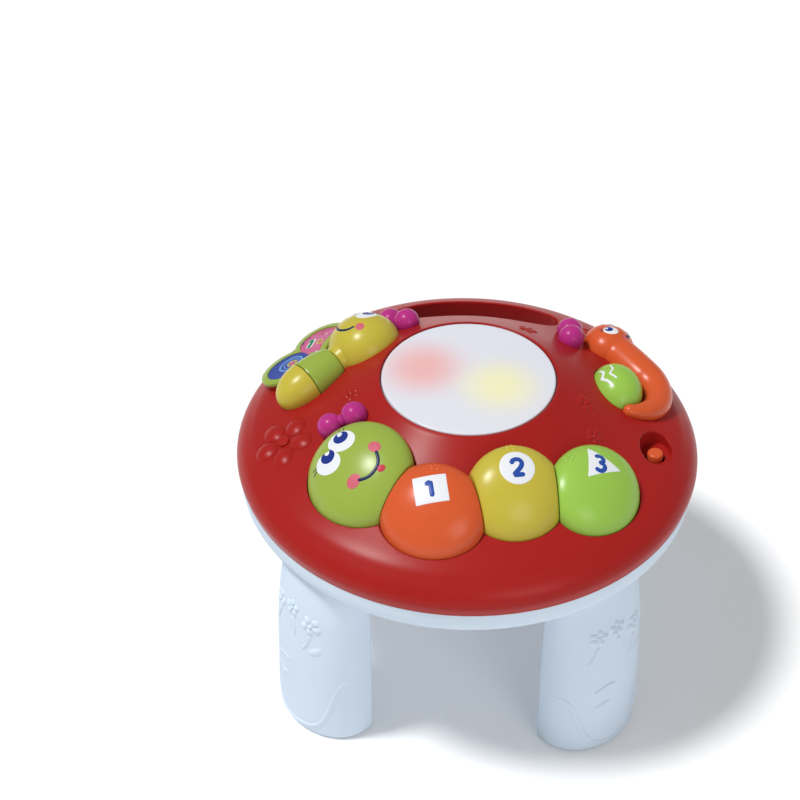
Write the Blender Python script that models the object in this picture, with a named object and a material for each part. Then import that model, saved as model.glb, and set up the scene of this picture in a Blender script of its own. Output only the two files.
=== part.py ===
"""Musical activity table for a baby: a domed red top with pressed keys, a lit drum
disc, a butterfly with a flip-over wing, a snail with a rolling egg and a slide
switch, on a white tray with four plug-in legs. Metres, +Z up, feet on z = 0, the
carrying handle at +Y and the keys at -Y."""

import math

import bmesh
import bpy
import numpy as np
from mathutils import Matrix, Vector

# Housing
RIM_RADIUS = 0.150
SEAM_HEIGHT = 0.1547
DOME_HEIGHT = 0.0673
SHELL_WALL = 0.0025
TRAY_DEPTH = 0.0175
TRAY_FLOOR = 0.0022
TRAY_SIDE_WALL = 0.0042
TRAY_LIP_WALL = 0.0017
TRAY_LIP_HEIGHT = 0.0035
LIP_CLEARANCE = 0.0006
JOINT_GAP = 0.0003
RUN_CLEARANCE = 0.0006
OVERRUN_LENGTH = 0.012
DOME_SHARES = (
    (0.381, 0.988), (0.467, 0.884), (0.560, 0.765), (0.667, 0.639), (0.800, 0.498),
    (0.907, 0.386), (0.953, 0.312), (0.993, 0.223), (1.011, 0.119), (1.000, 0.000),
)
TRAY_SHARES = ((0.933, 1.000), (0.963, 0.960), (0.984, 0.829), (0.995, 0.600), (0.998, 0.286))

# Handle hole at the back of the rim
HANDLE_CENTRE_Y = RIM_RADIUS * 0.6867
HANDLE_HALF_WIDTH = RIM_RADIUS * 0.3800
HANDLE_OUTER_REACH = RIM_RADIUS * 0.1600
HANDLE_INNER_REACH = RIM_RADIUS * 0.1267
HANDLE_OUTER_ROUNDNESS = 2.2
HANDLE_INNER_ROUNDNESS = 3.0

# Drum disc, lamp bowl and lamps
DISC_RADIUS = RIM_RADIUS * 0.3753
DISC_CLEARANCE = 0.0009
DISC_CROWN_HEIGHT = 0.0022
DISC_WALL = 0.0026
DISC_FLANGE_WIDTH = 0.0030
DISC_FLANGE_THICKNESS = 0.0015
DISC_TRAVEL_LENGTH = 0.0015
BOWL_WALL = 0.0015
BOWL_MOUTH_RADIUS = RIM_RADIUS * 0.1733
BOWL_RIM_WIDTH = 0.0060
LAMP_START_ANGLE = -170.0
LAMP_RADIUS = 0.0025
LAMP_HEIGHT = 0.0080
LAMP_CIRCLE_RADIUS = RIM_RADIUS * 0.1133

# Note keys and worm head: distance from the centre, bearing from -Y,
# half size along the rim, half size across it, and crown height
KEY_CLEARANCE = 0.0006
KEY_WALL = 0.0024
KEY_FLANGE_WIDTH = 0.0020
KEY_FLANGE_THICKNESS = 0.0018
KEY_TRAVEL_LENGTH = 0.0030
KEY_POST_RADIUS = 0.0040
RUBBER_HEIGHT = 0.0060
RUBBER_RADIUS = 0.0060
HEAD_KEY_REACH = RIM_RADIUS * 0.6567
HEAD_KEY_HALF_LENGTH = RIM_RADIUS * 0.2433
HEAD_KEY_HALF_WIDTH = RIM_RADIUS * 0.2033
HEAD_KEY_CROWN_HEIGHT = 0.0205
KEY_1_REACH = RIM_RADIUS * 0.6987
KEY_1_HALF_LENGTH = RIM_RADIUS * 0.2240
KEY_1_HALF_WIDTH = RIM_RADIUS * 0.1780
KEY_1_CROWN_HEIGHT = 0.0211
KEY_2_REACH = RIM_RADIUS * 0.6347
KEY_2_HALF_LENGTH = RIM_RADIUS * 0.2107
KEY_2_HALF_WIDTH = RIM_RADIUS * 0.1747
KEY_2_CROWN_HEIGHT = 0.0210
KEY_3_REACH = RIM_RADIUS * 0.7360
KEY_3_HALF_LENGTH = RIM_RADIUS * 0.2167
KEY_3_HALF_WIDTH = RIM_RADIUS * 0.1727
KEY_3_CROWN_HEIGHT = 0.0186
HEAD_KEY_BEARING = -40.0
KEY_1_BEARING = -9.0
KEY_2_BEARING = 20.8
KEY_3_BEARING = 48.6

# Circuit board, speaker, cells
BOARD_HEIGHT = 0.0120
BOARD_THICKNESS = 0.0016
BOARD_RADIUS = RIM_RADIUS * 0.7467
BOARD_BACK_Y = RIM_RADIUS * 0.1467
BOARD_POST_RADIUS = 0.0035
BOARD_POST_SHARES = ((0.347, -0.413), (-0.347, -0.413), (0.560, 0.013), (-0.560, 0.013), (0.0, -0.333))
SPEAKER_Y = RIM_RADIUS * -0.5667
SPEAKER_RADIUS = 0.020
SPEAKER_DEPTH = 0.0100
SPEAKER_SHARES = (
    (0.0, 0.25), (0.35, 0.20), (0.85, 0.0), (1.0, 0.0), (1.0, 0.25), (0.6, 0.6), (0.6, 1.0), (0.0, 1.0),
)
GRILLE_SHARE = 0.8
GRILLE_SLOT_WIDTH = 0.0030
GRILLE_SLOT_PITCH_LENGTH = 0.0062
CELL_RADIUS = 0.00725
CELL_LENGTH = 0.0495
CELL_GAP = 0.0007
CELL_PITCH_LENGTH = CELL_RADIUS * 2 + CELL_GAP
BAY_SIDE_ROOM = 0.00155
BAY_END_ROOM = 0.00485
BAY_HALF_WIDTH = CELL_PITCH_LENGTH + CELL_RADIUS + BAY_SIDE_ROOM
BAY_HALF_LENGTH = CELL_LENGTH / 2 + BAY_END_ROOM
BAY_WALL = 0.0024
DOOR_LEDGE_WIDTH = 0.0020
DOOR_TAB_LENGTH = 0.0080
CONTACT_THICKNESS = 0.0006
CONTACT_HEIGHT = 0.0110

# Screws
SCREW_HEAD_RADIUS = 0.0030
SCREW_HEAD_HEIGHT = 0.0018
SCREW_SHANK_RADIUS = 0.0014
SCREW_LENGTH = 0.0260
DOOR_SCREW_LENGTH = 0.0100
POST_WALL = 0.0026
SCREW_CIRCLE_RADIUS = RIM_RADIUS * 0.9100
SCREW_BEARINGS = {"front": 5.0, "left": -80.0, "right": 95.0, "rear_left": -157.0, "rear_right": 157.0}

# Legs
LEG_REACH = RIM_RADIUS * 0.8100
LEG_HALF_WIDTH = RIM_RADIUS * 0.2453
LEG_BULGE_DEPTH = RIM_RADIUS * 0.1967
LEG_BACK_DEPTH = RIM_RADIUS * 0.0600
LEG_WALL = 0.0024
LEG_CORNER_RADIUS = 0.0040
LEG_SPIGOT_INSET_DEPTH = 0.0035
LEG_SPIGOT_HEIGHT = 0.0140
LEG_BEARINGS = {"front_right": 45.0, "rear_right": 135.0, "rear_left": -135.0, "front_left": -45.0}
LEG_SHARES = (
    (0.000, 0.930, 0.890), (0.018, 0.980, 0.960), (0.070, 1.000, 0.995), (0.500, 1.000, 0.990),
    (0.740, 0.970, 0.910), (1.000, 0.890, 0.690),
)

# Butterfly
BUG_HEAD_REACH = RIM_RADIUS * 0.5633
BUG_HEAD_BEARING = -122.6
BUG_HEAD_RADIUS = RIM_RADIUS * 0.1633
BUG_HEAD_HEIGHT = 0.0220
BUG_BODY_LENGTH = RIM_RADIUS * 0.3267
BUG_BODY_BEARING = -47.7
BUG_BODY_RADIUS = RIM_RADIUS * 0.1033
BUG_TAIL_LENGTH = RIM_RADIUS * 0.1567
BARREL_TAPER_LENGTH = RIM_RADIUS * 0.2573
HINGE_HEIGHT = 0.0036
AXLE_RADIUS = 0.0010
AXLE_BITE_LENGTH = 0.0080
WING_UNDERSIDE_HEIGHT = 0.0018
WING_THICKNESS = 0.0036
WING_UPPER_SHARES = (0.100, 0.220)
WING_UPPER_CENTRE = tuple(RIM_RADIUS * share for share in WING_UPPER_SHARES)
WING_UPPER_RADIUS = RIM_RADIUS * 0.1333
WING_LOWER_SHARES = (0.2933, 0.1933)
WING_LOWER_CENTRE = tuple(RIM_RADIUS * share for share in WING_LOWER_SHARES)
WING_LOWER_HALF_LENGTH = RIM_RADIUS * 0.1233
WING_LOWER_HALF_WIDTH = RIM_RADIUS * 0.1100
WING_HEAD_GAP = 0.0020

# Snail
SNAIL_HEAD_REACH = RIM_RADIUS * 0.7867
SNAIL_HEAD_BEARING = 129.5
SNAIL_HEAD_RADIUS = RIM_RADIUS * 0.1187
SNAIL_HEAD_HEIGHT = 0.0157
SNAIL_LIFT_HEIGHT = 0.0010
EGG_REACH = RIM_RADIUS * 0.6667
EGG_BEARING = 103.6
EGG_HALF_LENGTH = RIM_RADIUS * 0.1367
EGG_RADIUS = RIM_RADIUS * 0.1147
EGG_SINK_DEPTH = 0.0026
EGG_AXLE_RADIUS = 0.0008
EGG_AXLE_BITE_LENGTH = 0.0018
EGG_SPLIT_BEARING = 0.0
SNAIL_TAIL_SWEEP_RADIUS = RIM_RADIUS * 0.1600
SNAIL_TAIL_RADIUS = RIM_RADIUS * 0.0573
SNAIL_TAIL_HEIGHT = 0.0015
SNAIL_TAIL_START_ANGLE = 66.0
SNAIL_TAIL_TURN_ANGLE = -150.0
SNAIL_TAIL_TAPER_SHARE = 0.52
SNAIL_TAIL_TAPER_POWER = 1.8

# Bows: pairs of balls, each at a reach and a bearing
BOW_BALL_RADIUS = RIM_RADIUS * 0.0573
BOW_HEIGHT = 0.0035
WORM_BOW_REACH_SHARES = (0.612, 0.5127)
WORM_BOW_BEARINGS = (-67.0, -64.6)
BUG_BOW_REACH_SHARES = (0.620, 0.520)
BUG_BOW_BEARINGS = (-143.5, -146.0)
SNAIL_BOW_REACH_SHARES = (0.676, 0.6073)
SNAIL_BOW_BEARINGS = (141.0, 135.0)
PEG_RADIUS = 0.0020
PEG_LENGTH = 0.0050

# Slide switch
SWITCH_REACH = RIM_RADIUS * 0.8267
SWITCH_BEARING = 80.6
DISH_HALF_LENGTH = RIM_RADIUS * 0.0700
DISH_HALF_WIDTH = RIM_RADIUS * 0.1000
DISH_FLOOR_HEIGHT = 0.0225
DISH_FLOOR_WALL = 0.0020
KNOB_HALF_LENGTH = 0.0052
KNOB_HEIGHT = 0.0050
KNOB_STEM_RADIUS = 0.0017
SWITCH_TRAVEL_LENGTH = 0.0040
SWITCH_BODY_HALF_LENGTH = 0.0085
SWITCH_BODY_HALF_WIDTH = 0.0045
SWITCH_BODY_HEIGHT = 0.0060

WELD_DISTANCE = 0.00001
# Share of a step by which round rods are turned against the housing's facets
ROD_PHASE = 0.31
HOUSING_SEGMENTS = 48
ROD_SEGMENTS = 12
KEY_SEGMENTS = 24
FIGURE_SEGMENTS = 22

RED = (0.45, 0.027, 0.024)
WHITE = (0.62, 0.70, 0.78)
DISC_WHITE = (0.75, 0.76, 0.83)
LIME = (0.37, 0.52, 0.075)
ORANGE = (0.73, 0.11, 0.026)
YELLOW = (0.61, 0.49, 0.045)
GREEN = (0.29, 0.56, 0.08)
MAGENTA = (0.51, 0.032, 0.28)
STEEL = (0.55, 0.55, 0.57)
BLACK = (0.03, 0.03, 0.03)
BOARD_GREEN = (0.02, 0.16, 0.06)
RUBBER_GREY = (0.35, 0.35, 0.36)
LAMPS = (("red", (0.8, 0.05, 0.04)), ("yellow", (0.9, 0.75, 0.1)), ("green", (0.1, 0.7, 0.2)))


def clear_scene():
    for item in list(bpy.data.objects):
        bpy.data.objects.remove(item)


def finish(name, colour, roughness=0.35, metallic=0.0):
    material = bpy.data.materials.new(name)
    material.use_nodes = True
    shader = material.node_tree.nodes["Principled BSDF"]
    shader.inputs["Base Color"].default_value = (*colour, 1.0)
    shader.inputs["Roughness"].default_value = roughness
    shader.inputs["Metallic"].default_value = metallic
    return material


def mesh_object(name, points, faces, colour=None, roughness=0.35, metallic=0.0):
    """A closed solid from its corners and faces, or a hidden cutter when it has no colour."""
    mesh = bpy.data.meshes.new(name)
    work = bmesh.new()
    corners = [work.verts.new(Vector(point)) for point in points]
    for face in faces:
        work.faces.new([corners[index] for index in face])
    bmesh.ops.recalc_face_normals(work, faces=work.faces[:])
    work.to_mesh(mesh)
    work.free()
    item = bpy.data.objects.new(name, mesh)
    bpy.context.scene.collection.objects.link(item)
    if colour is None:
        item.hide_render = True
        item.display_type = "WIRE"
    else:
        mesh.materials.append(finish(name, colour, roughness, metallic))
        mesh.shade_smooth()
        mesh.set_sharp_from_angle(angle=math.radians(32.0))
    return item


def move_origin(item, point):
    """Puts an object's origin on a world point and leaves its surface where it is."""
    shift = Vector(point)
    item.data.transform(Matrix.Translation(-shift))
    item.location = shift


def boolean(item, other, operation):
    step = item.modifiers.new(operation.lower() + "_" + other.name, "BOOLEAN")
    step.operation = operation
    step.object = other
    step.solver = "EXACT"


def weld(item):
    """Joins corners that a cut left within a hair of each other."""
    step = item.modifiers.new("weld", "WELD")
    step.merge_threshold = WELD_DISTANCE


def cut(item, *cutters):
    for cutter in cutters:
        boolean(item, cutter, "DIFFERENCE")


def fuse(item, *others):
    for other in others:
        boolean(item, other, "UNION")


def rings_to_faces(rings, closed_loop=False):
    """Faces between neighbouring rings; a ring of one index is a pole."""
    faces = []
    pairs = list(zip(rings, rings[1:]))
    if closed_loop:
        pairs.append((rings[-1], rings[0]))
    for lower, upper in pairs:
        count = max(len(lower), len(upper))
        for step in range(count):
            following = (step + 1) % count
            if len(lower) == 1:
                faces.append((lower[0], upper[following], upper[step]))
            elif len(upper) == 1:
                faces.append((lower[step], lower[following], upper[0]))
            else:
                faces.append((lower[step], lower[following], upper[following], upper[step]))
    return faces


def stack(name, loops, closed_loop=False, caps=True, **look):
    """A solid from a stack of point loops, each the same length or a single pole."""
    points = []
    rings = []
    for loop in loops:
        rings.append(list(range(len(points), len(points) + len(loop))))
        points.extend(loop)
    faces = rings_to_faces(rings, closed_loop)
    if caps and not closed_loop:
        for ring in (rings[0], rings[-1]):
            if len(ring) > 1:
                faces.append(tuple(ring))
    return mesh_object(name, points, faces, **look)


def turned(name, profile, segments, place=None, closed_loop=False, phase=0.0, **look):
    """A solid of revolution about Z from (radius, height) points, moved by a matrix."""
    loops = []
    for radius, height in profile:
        if radius == 0:
            loops.append([Vector((0, 0, height))])
            continue
        loop = []
        for step in range(segments):
            angle = 2 * math.pi * (step + phase) / segments
            loop.append(Vector((radius * math.cos(angle), radius * math.sin(angle), height)))
        loops.append(loop)
    if place is not None:
        loops = [[place @ point for point in loop] for loop in loops]
    return stack(name, loops, closed_loop, **look)


def rod(name, radius, low, high, segments, place=None, **look):
    profile = ((0, low), (radius, low), (radius, high), (0, high))
    return turned(name, profile, segments, place, phase=ROD_PHASE, **look)


def prism(name, outline, low, high, place=None, **look):
    loops = [[Vector((x, y, level)) for x, y in outline] for level in (low, high)]
    if place is not None:
        loops = [[place @ point for point in loop] for loop in loops]
    return stack(name, loops, **look)


def box_outline(left, right, front, back):
    return [(left, front), (right, front), (right, back), (left, back)]


def polar(reach, bearing):
    """Plan position at a reach from the centre and a bearing in degrees from -Y towards +X."""
    angle = math.radians(bearing)
    return reach * math.sin(angle), -reach * math.cos(angle)


def dome_points():
    return [(RIM_RADIUS * across, DOME_HEIGHT * up) for across, up in DOME_SHARES]


def offset_points(points, distance):
    """The profile moved along its own outward normals."""
    path = np.array(points)
    runs = np.diff(path, axis=0)
    normals = np.stack([-runs[:, 1], runs[:, 0]], axis=1)
    normals /= np.linalg.norm(normals, axis=1)[:, None]
    corner = np.vstack([normals[:1], normals[:-1] + normals[1:], normals[-1:]])
    corner /= np.linalg.norm(corner, axis=1)[:, None]
    beside = np.vstack([normals[:1], normals])
    reach = distance / np.sum(corner * beside, axis=1)
    return [tuple(point) for point in path + corner * reach[:, None]]


def dome_level(radius):
    """Height of the dome's outer surface above the seam."""
    path = np.array(dome_points()[:-1])
    return float(np.interp(radius, path[:, 0], path[:, 1]))


def dome_inner_level(radius):
    path = np.array(offset_points(dome_points(), -SHELL_WALL)[:-1])
    return float(np.interp(radius, path[:, 0], path[:, 1]))


def dome_slope(radius):
    reach = RUBBER_RADIUS
    return (dome_level(radius + reach) - dome_level(radius - reach)) / (2 * reach)


def at_seam(height):
    return SEAM_HEIGHT + height


def surface_frame(x, y, lift=0.0):
    """Point on the dome with its tangential, downhill and normal directions, as a matrix."""
    radius = math.hypot(x, y)
    outward = Vector((x / radius, y / radius, 0))
    downhill = Vector((outward.x, outward.y, dome_slope(radius))).normalized()
    tangent = Vector((-outward.y, outward.x, 0))
    normal = downhill.cross(tangent)
    if normal.z < 0:
        normal = -normal
        tangent = -tangent
    place = Matrix((tangent, downhill, normal)).transposed().to_4x4()
    origin = Vector((x, y, at_seam(dome_level(radius)))) + normal * lift
    return Matrix.Translation(origin) @ place


def ellipsoid(name, half_x, half_y, half_z, segments, rings, place, **look):
    loops = [[place @ Vector((0, 0, -half_z))]]
    for row in range(1, rings):
        polar_angle = math.pi * row / rings
        loop = []
        for step in range(segments):
            angle = 2 * math.pi * step / segments
            ring_share = math.sin(polar_angle)
            point = Vector((half_x * ring_share * math.cos(angle), half_y * ring_share * math.sin(angle), 0))
            point.z = -half_z * math.cos(polar_angle)
            loop.append(place @ point)
        loops.append(loop)
    loops.append([place @ Vector((0, 0, half_z))])
    return stack(name, loops, **look)


def dome_solid(name, offset, low, segments, **look):
    """The full dome, moved outwards by an offset, down to a level."""
    points = offset_points(dome_points(), offset) if offset else dome_points()
    points = [(radius, max(height, 0) if offset > 0 else height) for radius, height in points]
    foot = points[-1][0]
    profile = [(0, points[0][1])] + points
    if low < points[-1][1]:
        profile.append((foot, low))
    profile.append((0, low))
    return turned(name, [(radius, at_seam(height)) for radius, height in profile], segments, **look)


def handle_outline(margin):
    """Bean-shaped hole: a round outer side towards the rim and a flatter inner side."""
    points = []
    count = 28
    outer_power = 2 / HANDLE_OUTER_ROUNDNESS
    inner_power = 2 / HANDLE_INNER_ROUNDNESS
    for step in range(count):
        angle = 2 * math.pi * (step + 0.5) / count
        side = math.cos(angle)
        along = math.sin(angle)
        power = outer_power if along >= 0 else inner_power
        reach = HANDLE_OUTER_REACH if along >= 0 else HANDLE_INNER_REACH
        x = (HANDLE_HALF_WIDTH + margin) * math.copysign(abs(side) ** power, side)
        y = HANDLE_CENTRE_Y + (reach + margin) * math.copysign(abs(along) ** power, along)
        points.append((x, y))
    return points


def key_specs():
    """Name, plan centre, bearing, half length along the rim, half width across it, crown."""
    rows = (
        ("worm_head_key", HEAD_KEY_REACH, HEAD_KEY_BEARING, HEAD_KEY_HALF_LENGTH,
         HEAD_KEY_HALF_WIDTH, HEAD_KEY_CROWN_HEIGHT, LIME),
        ("note_key_1", KEY_1_REACH, KEY_1_BEARING, KEY_1_HALF_LENGTH,
         KEY_1_HALF_WIDTH, KEY_1_CROWN_HEIGHT, ORANGE),
        ("note_key_2", KEY_2_REACH, KEY_2_BEARING, KEY_2_HALF_LENGTH,
         KEY_2_HALF_WIDTH, KEY_2_CROWN_HEIGHT, YELLOW),
        ("note_key_3", KEY_3_REACH, KEY_3_BEARING, KEY_3_HALF_LENGTH,
         KEY_3_HALF_WIDTH, KEY_3_CROWN_HEIGHT, GREEN),
    )
    specs = []
    for name, reach, bearing, half_length, half_width, crown, colour in rows:
        angle = math.radians(bearing)
        specs.append({
            "name": name, "reach": reach, "centre": np.array(polar(reach, bearing)),
            "across": np.array((math.sin(angle), -math.cos(angle))),
            "along": np.array((math.cos(angle), math.sin(angle))),
            "half_length": half_length, "half_width": half_width, "crown": crown, "colour": colour,
        })
    return specs


def ellipse_reach(spec, direction, margin):
    """Distance from a key's centre to its plan ellipse along a unit direction."""
    along = float(direction @ spec["along"]) / (spec["half_length"] + margin)
    across = float(direction @ spec["across"]) / (spec["half_width"] + margin)
    return 1 / math.hypot(along, across)


def crossing_line(first, second):
    """Two plan points on the line between neighbouring keys: where their outlines cross, if they do."""
    crossings = []
    count = 720
    inside_before = None
    for step in range(count + 1):
        angle = 2 * math.pi * step / count
        direction = np.array((math.cos(angle), math.sin(angle)))
        point = first["centre"] + direction * ellipse_reach(first, direction, 0)
        offset = point - second["centre"]
        distance = float(np.linalg.norm(offset))
        inside = distance < ellipse_reach(second, offset / distance, 0)
        if inside_before is not None and inside != inside_before:
            crossings.append(point)
        inside_before = inside
    if crossings:
        return crossings[0], crossings[-1]
    run = (second["centre"] - first["centre"]) / np.linalg.norm(second["centre"] - first["centre"])
    near = first["centre"] + run * ellipse_reach(first, run, 0)
    far = second["centre"] - run * ellipse_reach(second, run, 0)
    side = np.array((-run[1], run[0])) * KEY_FLANGE_WIDTH
    return (near + far) / 2 - side, (near + far) / 2 + side


def key_limits(specs):
    """For each key, the straight sides it shares with its neighbours."""
    limits = [[] for _ in specs]
    for index in range(len(specs) - 1):
        start, end = crossing_line(specs[index], specs[index + 1])
        run = (end - start) / np.linalg.norm(end - start)
        normal = np.array((run[1], -run[0]))
        for which in (index, index + 1):
            facing = normal if float((start - specs[which]["centre"]) @ normal) > 0 else -normal
            limits[which].append((start, facing))
    return limits


def key_reach(spec, limits, angle, margin, side_gap):
    direction = np.array((math.cos(angle), math.sin(angle)))
    reach = ellipse_reach(spec, direction, margin)
    for point, facing in limits:
        ahead = float(direction @ facing)
        if ahead > 0:
            reach = min(reach, (float((point - spec["centre"]) @ facing) - side_gap) / ahead)
    return reach


def key_angles(spec, limits, side_gap):
    """Even steps round the key, with the corners of its straight sides put in exactly."""
    count = KEY_SEGMENTS
    full = 2 * math.pi
    angles = [full * step / count for step in range(count)]
    for point, facing in limits:
        run = np.array((facing[1], -facing[0]))
        base = float((point - spec["centre"]) @ facing) - side_gap
        previous = None
        for step in range(1441):
            shift = (step / 720 - 1) * 2 * spec["half_length"]
            offset = facing * base + run * shift
            distance = float(np.linalg.norm(offset))
            inside = distance < ellipse_reach(spec, offset / distance, 0)
            if previous is not None and inside != previous:
                corner = math.atan2(offset[1], offset[0]) % full
                misses = [abs((angle - corner + math.pi) % full - math.pi) for angle in angles]
                angles[misses.index(min(misses))] = corner
            previous = inside
    return sorted(angles)


def key_top(spec, point, shrink):
    """Height of a key's domed surface over a plan point, or of a dome inside it."""
    offset = point - spec["centre"]
    along = float(offset @ spec["along"])
    across = float(offset @ spec["across"])
    base = dome_level(spec["reach"]) + dome_slope(spec["reach"]) * across
    share = (along / (spec["half_length"] - shrink)) ** 2 + (across / (spec["half_width"] - shrink)) ** 2
    return base + (spec["crown"] - shrink) * math.sqrt(max(0.0, 1 - share))


def key_ring(spec, reaches, angles, share, level):
    loop = []
    for reach, angle in zip(reaches, angles):
        point = spec["centre"] + np.array((math.cos(angle), math.sin(angle))) * reach * share
        loop.append(Vector((point[0], point[1], at_seam(level(point)))))
    return loop


def build_key(spec, limits):
    """A hollow domed key: skin, skirt through the shell, hidden flange and centre post."""
    side_gap = KEY_CLEARANCE / 2
    angles = key_angles(spec, limits, side_gap)
    outer = [key_reach(spec, limits, angle, 0, side_gap) for angle in angles]
    flange = [key_reach(spec, limits, angle, KEY_FLANGE_WIDTH, side_gap) for angle in angles]
    inner = [reach - KEY_WALL for reach in outer]

    def flange_top(point):
        return dome_inner_level(float(np.linalg.norm(point)) + KEY_FLANGE_WIDTH) - KEY_CLEARANCE

    def flange_foot(point):
        return flange_top(point) - KEY_FLANGE_THICKNESS

    def skirt_foot(point):
        return flange_top(point) + KEY_CLEARANCE / 2

    def skirt_top(point):
        return max(key_top(spec, point, 0), skirt_foot(point) + KEY_CLEARANCE)

    def roof(point):
        return max(key_top(spec, point, KEY_WALL), flange_foot(point) + KEY_CLEARANCE)

    centre = spec["centre"]
    post_foot = BOARD_HEIGHT + BOARD_THICKNESS + RUBBER_HEIGHT
    post = [KEY_POST_RADIUS] * len(angles)
    loops = [[Vector((centre[0], centre[1], at_seam(key_top(spec, centre, 0))))]]
    for share in (0.38, 0.68, 0.90, 1.0):
        loops.append(key_ring(spec, outer, angles, share, skirt_top))
    loops.append(key_ring(spec, outer, angles, 1.0, skirt_foot))
    loops.append(key_ring(spec, flange, angles, 1.0, flange_top))
    loops.append(key_ring(spec, flange, angles, 1.0, flange_foot))
    loops.append(key_ring(spec, inner, angles, 1.0, flange_foot))
    for share in (1.0, 0.86, 0.50):
        loops.append(key_ring(spec, inner, angles, share, roof))
    loops.append(key_ring(spec, post, angles, 1.0, roof))
    loops.append(key_ring(spec, post, angles, 1.0, lambda point: post_foot))
    loops.append([Vector((centre[0], centre[1], at_seam(post_foot)))])
    return stack(spec["name"], loops, colour=spec["colour"], roughness=0.25)


def build_keys():
    specs = key_specs()
    limits = key_limits(specs)
    openings = []
    board_top = BOARD_HEIGHT + BOARD_THICKNESS
    for index, (spec, sides) in enumerate(zip(specs, limits)):
        key = build_key(spec, sides)
        move_origin(key, (spec["centre"][0], spec["centre"][1], at_seam(dome_level(spec["reach"]))))
        count = 32
        outline = []
        for step in range(count):
            angle = 2 * math.pi * step / count
            direction = np.array((math.cos(angle), math.sin(angle)))
            outline.append(tuple(spec["centre"] + direction * ellipse_reach(spec, direction, KEY_CLEARANCE)))
        top = at_seam(DOME_HEIGHT + OVERRUN_LENGTH)
        openings.append(prism("opening_" + spec["name"], outline, SEAM_HEIGHT, top))
        low = board_top + JOINT_GAP
        high = board_top + RUBBER_HEIGHT - JOINT_GAP
        neck = KEY_POST_RADIUS
        profile = ((0, low), (RUBBER_RADIUS, low), (neck, high), (0, high))
        profile = [(radius, at_seam(height)) for radius, height in profile]
        spot = Matrix.Translation((spec["centre"][0], spec["centre"][1], 0))
        turned("key_dome_" + str(index + 1), profile, ROD_SEGMENTS, spot, colour=RUBBER_GREY, roughness=0.7)
    return openings


def body_axes():
    """Butterfly's hinge: start point under the head, then its axis, outward and up directions."""
    head = Vector((*polar(BUG_HEAD_REACH, BUG_HEAD_BEARING), 0))
    run = Vector((*polar(BUG_BODY_LENGTH, BUG_BODY_BEARING), 0))
    tail = head + run
    head.z = at_seam(dome_level(head.to_2d().length) + HINGE_HEIGHT)
    tail.z = at_seam(dome_level(tail.to_2d().length) + HINGE_HEIGHT)
    axis = (tail - head).normalized()
    middle = (head + tail) / 2
    normal = surface_frame(middle.x, middle.y).to_3x3().col[2]
    normal = (normal - axis * normal.dot(axis)).normalized()
    outward = axis.cross(normal)
    if outward.to_2d().dot(middle.to_2d()) < 0:
        outward = -outward
    return head, axis, outward, normal


def frame_matrix(origin, first, second, third):
    place = Matrix((first, second, third)).transposed().to_4x4()
    return Matrix.Translation(origin) @ place


def body_radius(along):
    """Radius of the butterfly's egg-shaped body at a distance from the head's centre."""
    reach = BUG_TAIL_LENGTH if along > BUG_BODY_LENGTH else BARREL_TAPER_LENGTH
    share = (along - BUG_BODY_LENGTH) / reach
    return BUG_BODY_RADIUS * math.sqrt(max(0.0, 1 - share ** 2))


def ray_to_ellipse(start, direction, centre, half_x, half_y):
    """Distance at which a plan ray leaves an ellipse that holds its start, or 0."""
    px = (start[0] - centre[0]) / half_x
    py = (start[1] - centre[1]) / half_y
    dx = direction[0] / half_x
    dy = direction[1] / half_y
    a = dx * dx + dy * dy
    b = 2 * (px * dx + py * dy)
    c = px * px + py * py - 1
    root = b * b - 4 * a * c
    if root < 0 or c > 0:
        return 0.0
    return (-b + math.sqrt(root)) / (2 * a)


def ray_meets_circle(start, direction, radius):
    """Distance at which a plan ray first meets a circle round the origin, or None."""
    b = start[0] * direction[0] + start[1] * direction[1]
    c = start[0] ** 2 + start[1] ** 2 - radius ** 2
    root = b * b - c
    if root < 0 or -b - math.sqrt(root) < 0:
        return None
    return -b - math.sqrt(root)


def wing_outline():
    """Two round lobes and the root, seen from above the wing, cleared round the head."""
    count = 44
    hub = (
        (WING_UPPER_CENTRE[0] + WING_LOWER_CENTRE[0]) / 2,
        (WING_UPPER_CENTRE[1] + WING_LOWER_CENTRE[1]) / 2,
    )
    root_half = (BUG_BODY_LENGTH - BUG_HEAD_RADIUS) / 2 - RUN_CLEARANCE
    root_centre = BUG_BODY_LENGTH - root_half - RUN_CLEARANCE
    clear = BUG_HEAD_RADIUS + WING_HEAD_GAP
    points = []
    for step in range(count):
        angle = 2 * math.pi * step / count
        direction = (math.cos(angle), math.sin(angle))
        reaches = [
            ray_to_ellipse(hub, direction, WING_UPPER_CENTRE, WING_UPPER_RADIUS, WING_UPPER_RADIUS),
            ray_to_ellipse(hub, direction, WING_LOWER_CENTRE, WING_LOWER_HALF_LENGTH, WING_LOWER_HALF_WIDTH),
        ]
        if direction[1] < 0:
            down = (hub[1] - BUG_BODY_RADIUS * 0.5) / -direction[1]
            if abs(hub[0] + direction[0] * down - root_centre) < root_half:
                reaches.append(down)
        reach = max(reaches)
        blocked = ray_meets_circle(hub, direction, clear)
        if blocked is not None:
            reach = min(reach, blocked)
        points.append((hub[0] + direction[0] * reach, hub[1] + direction[1] * reach))
    return points


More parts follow.
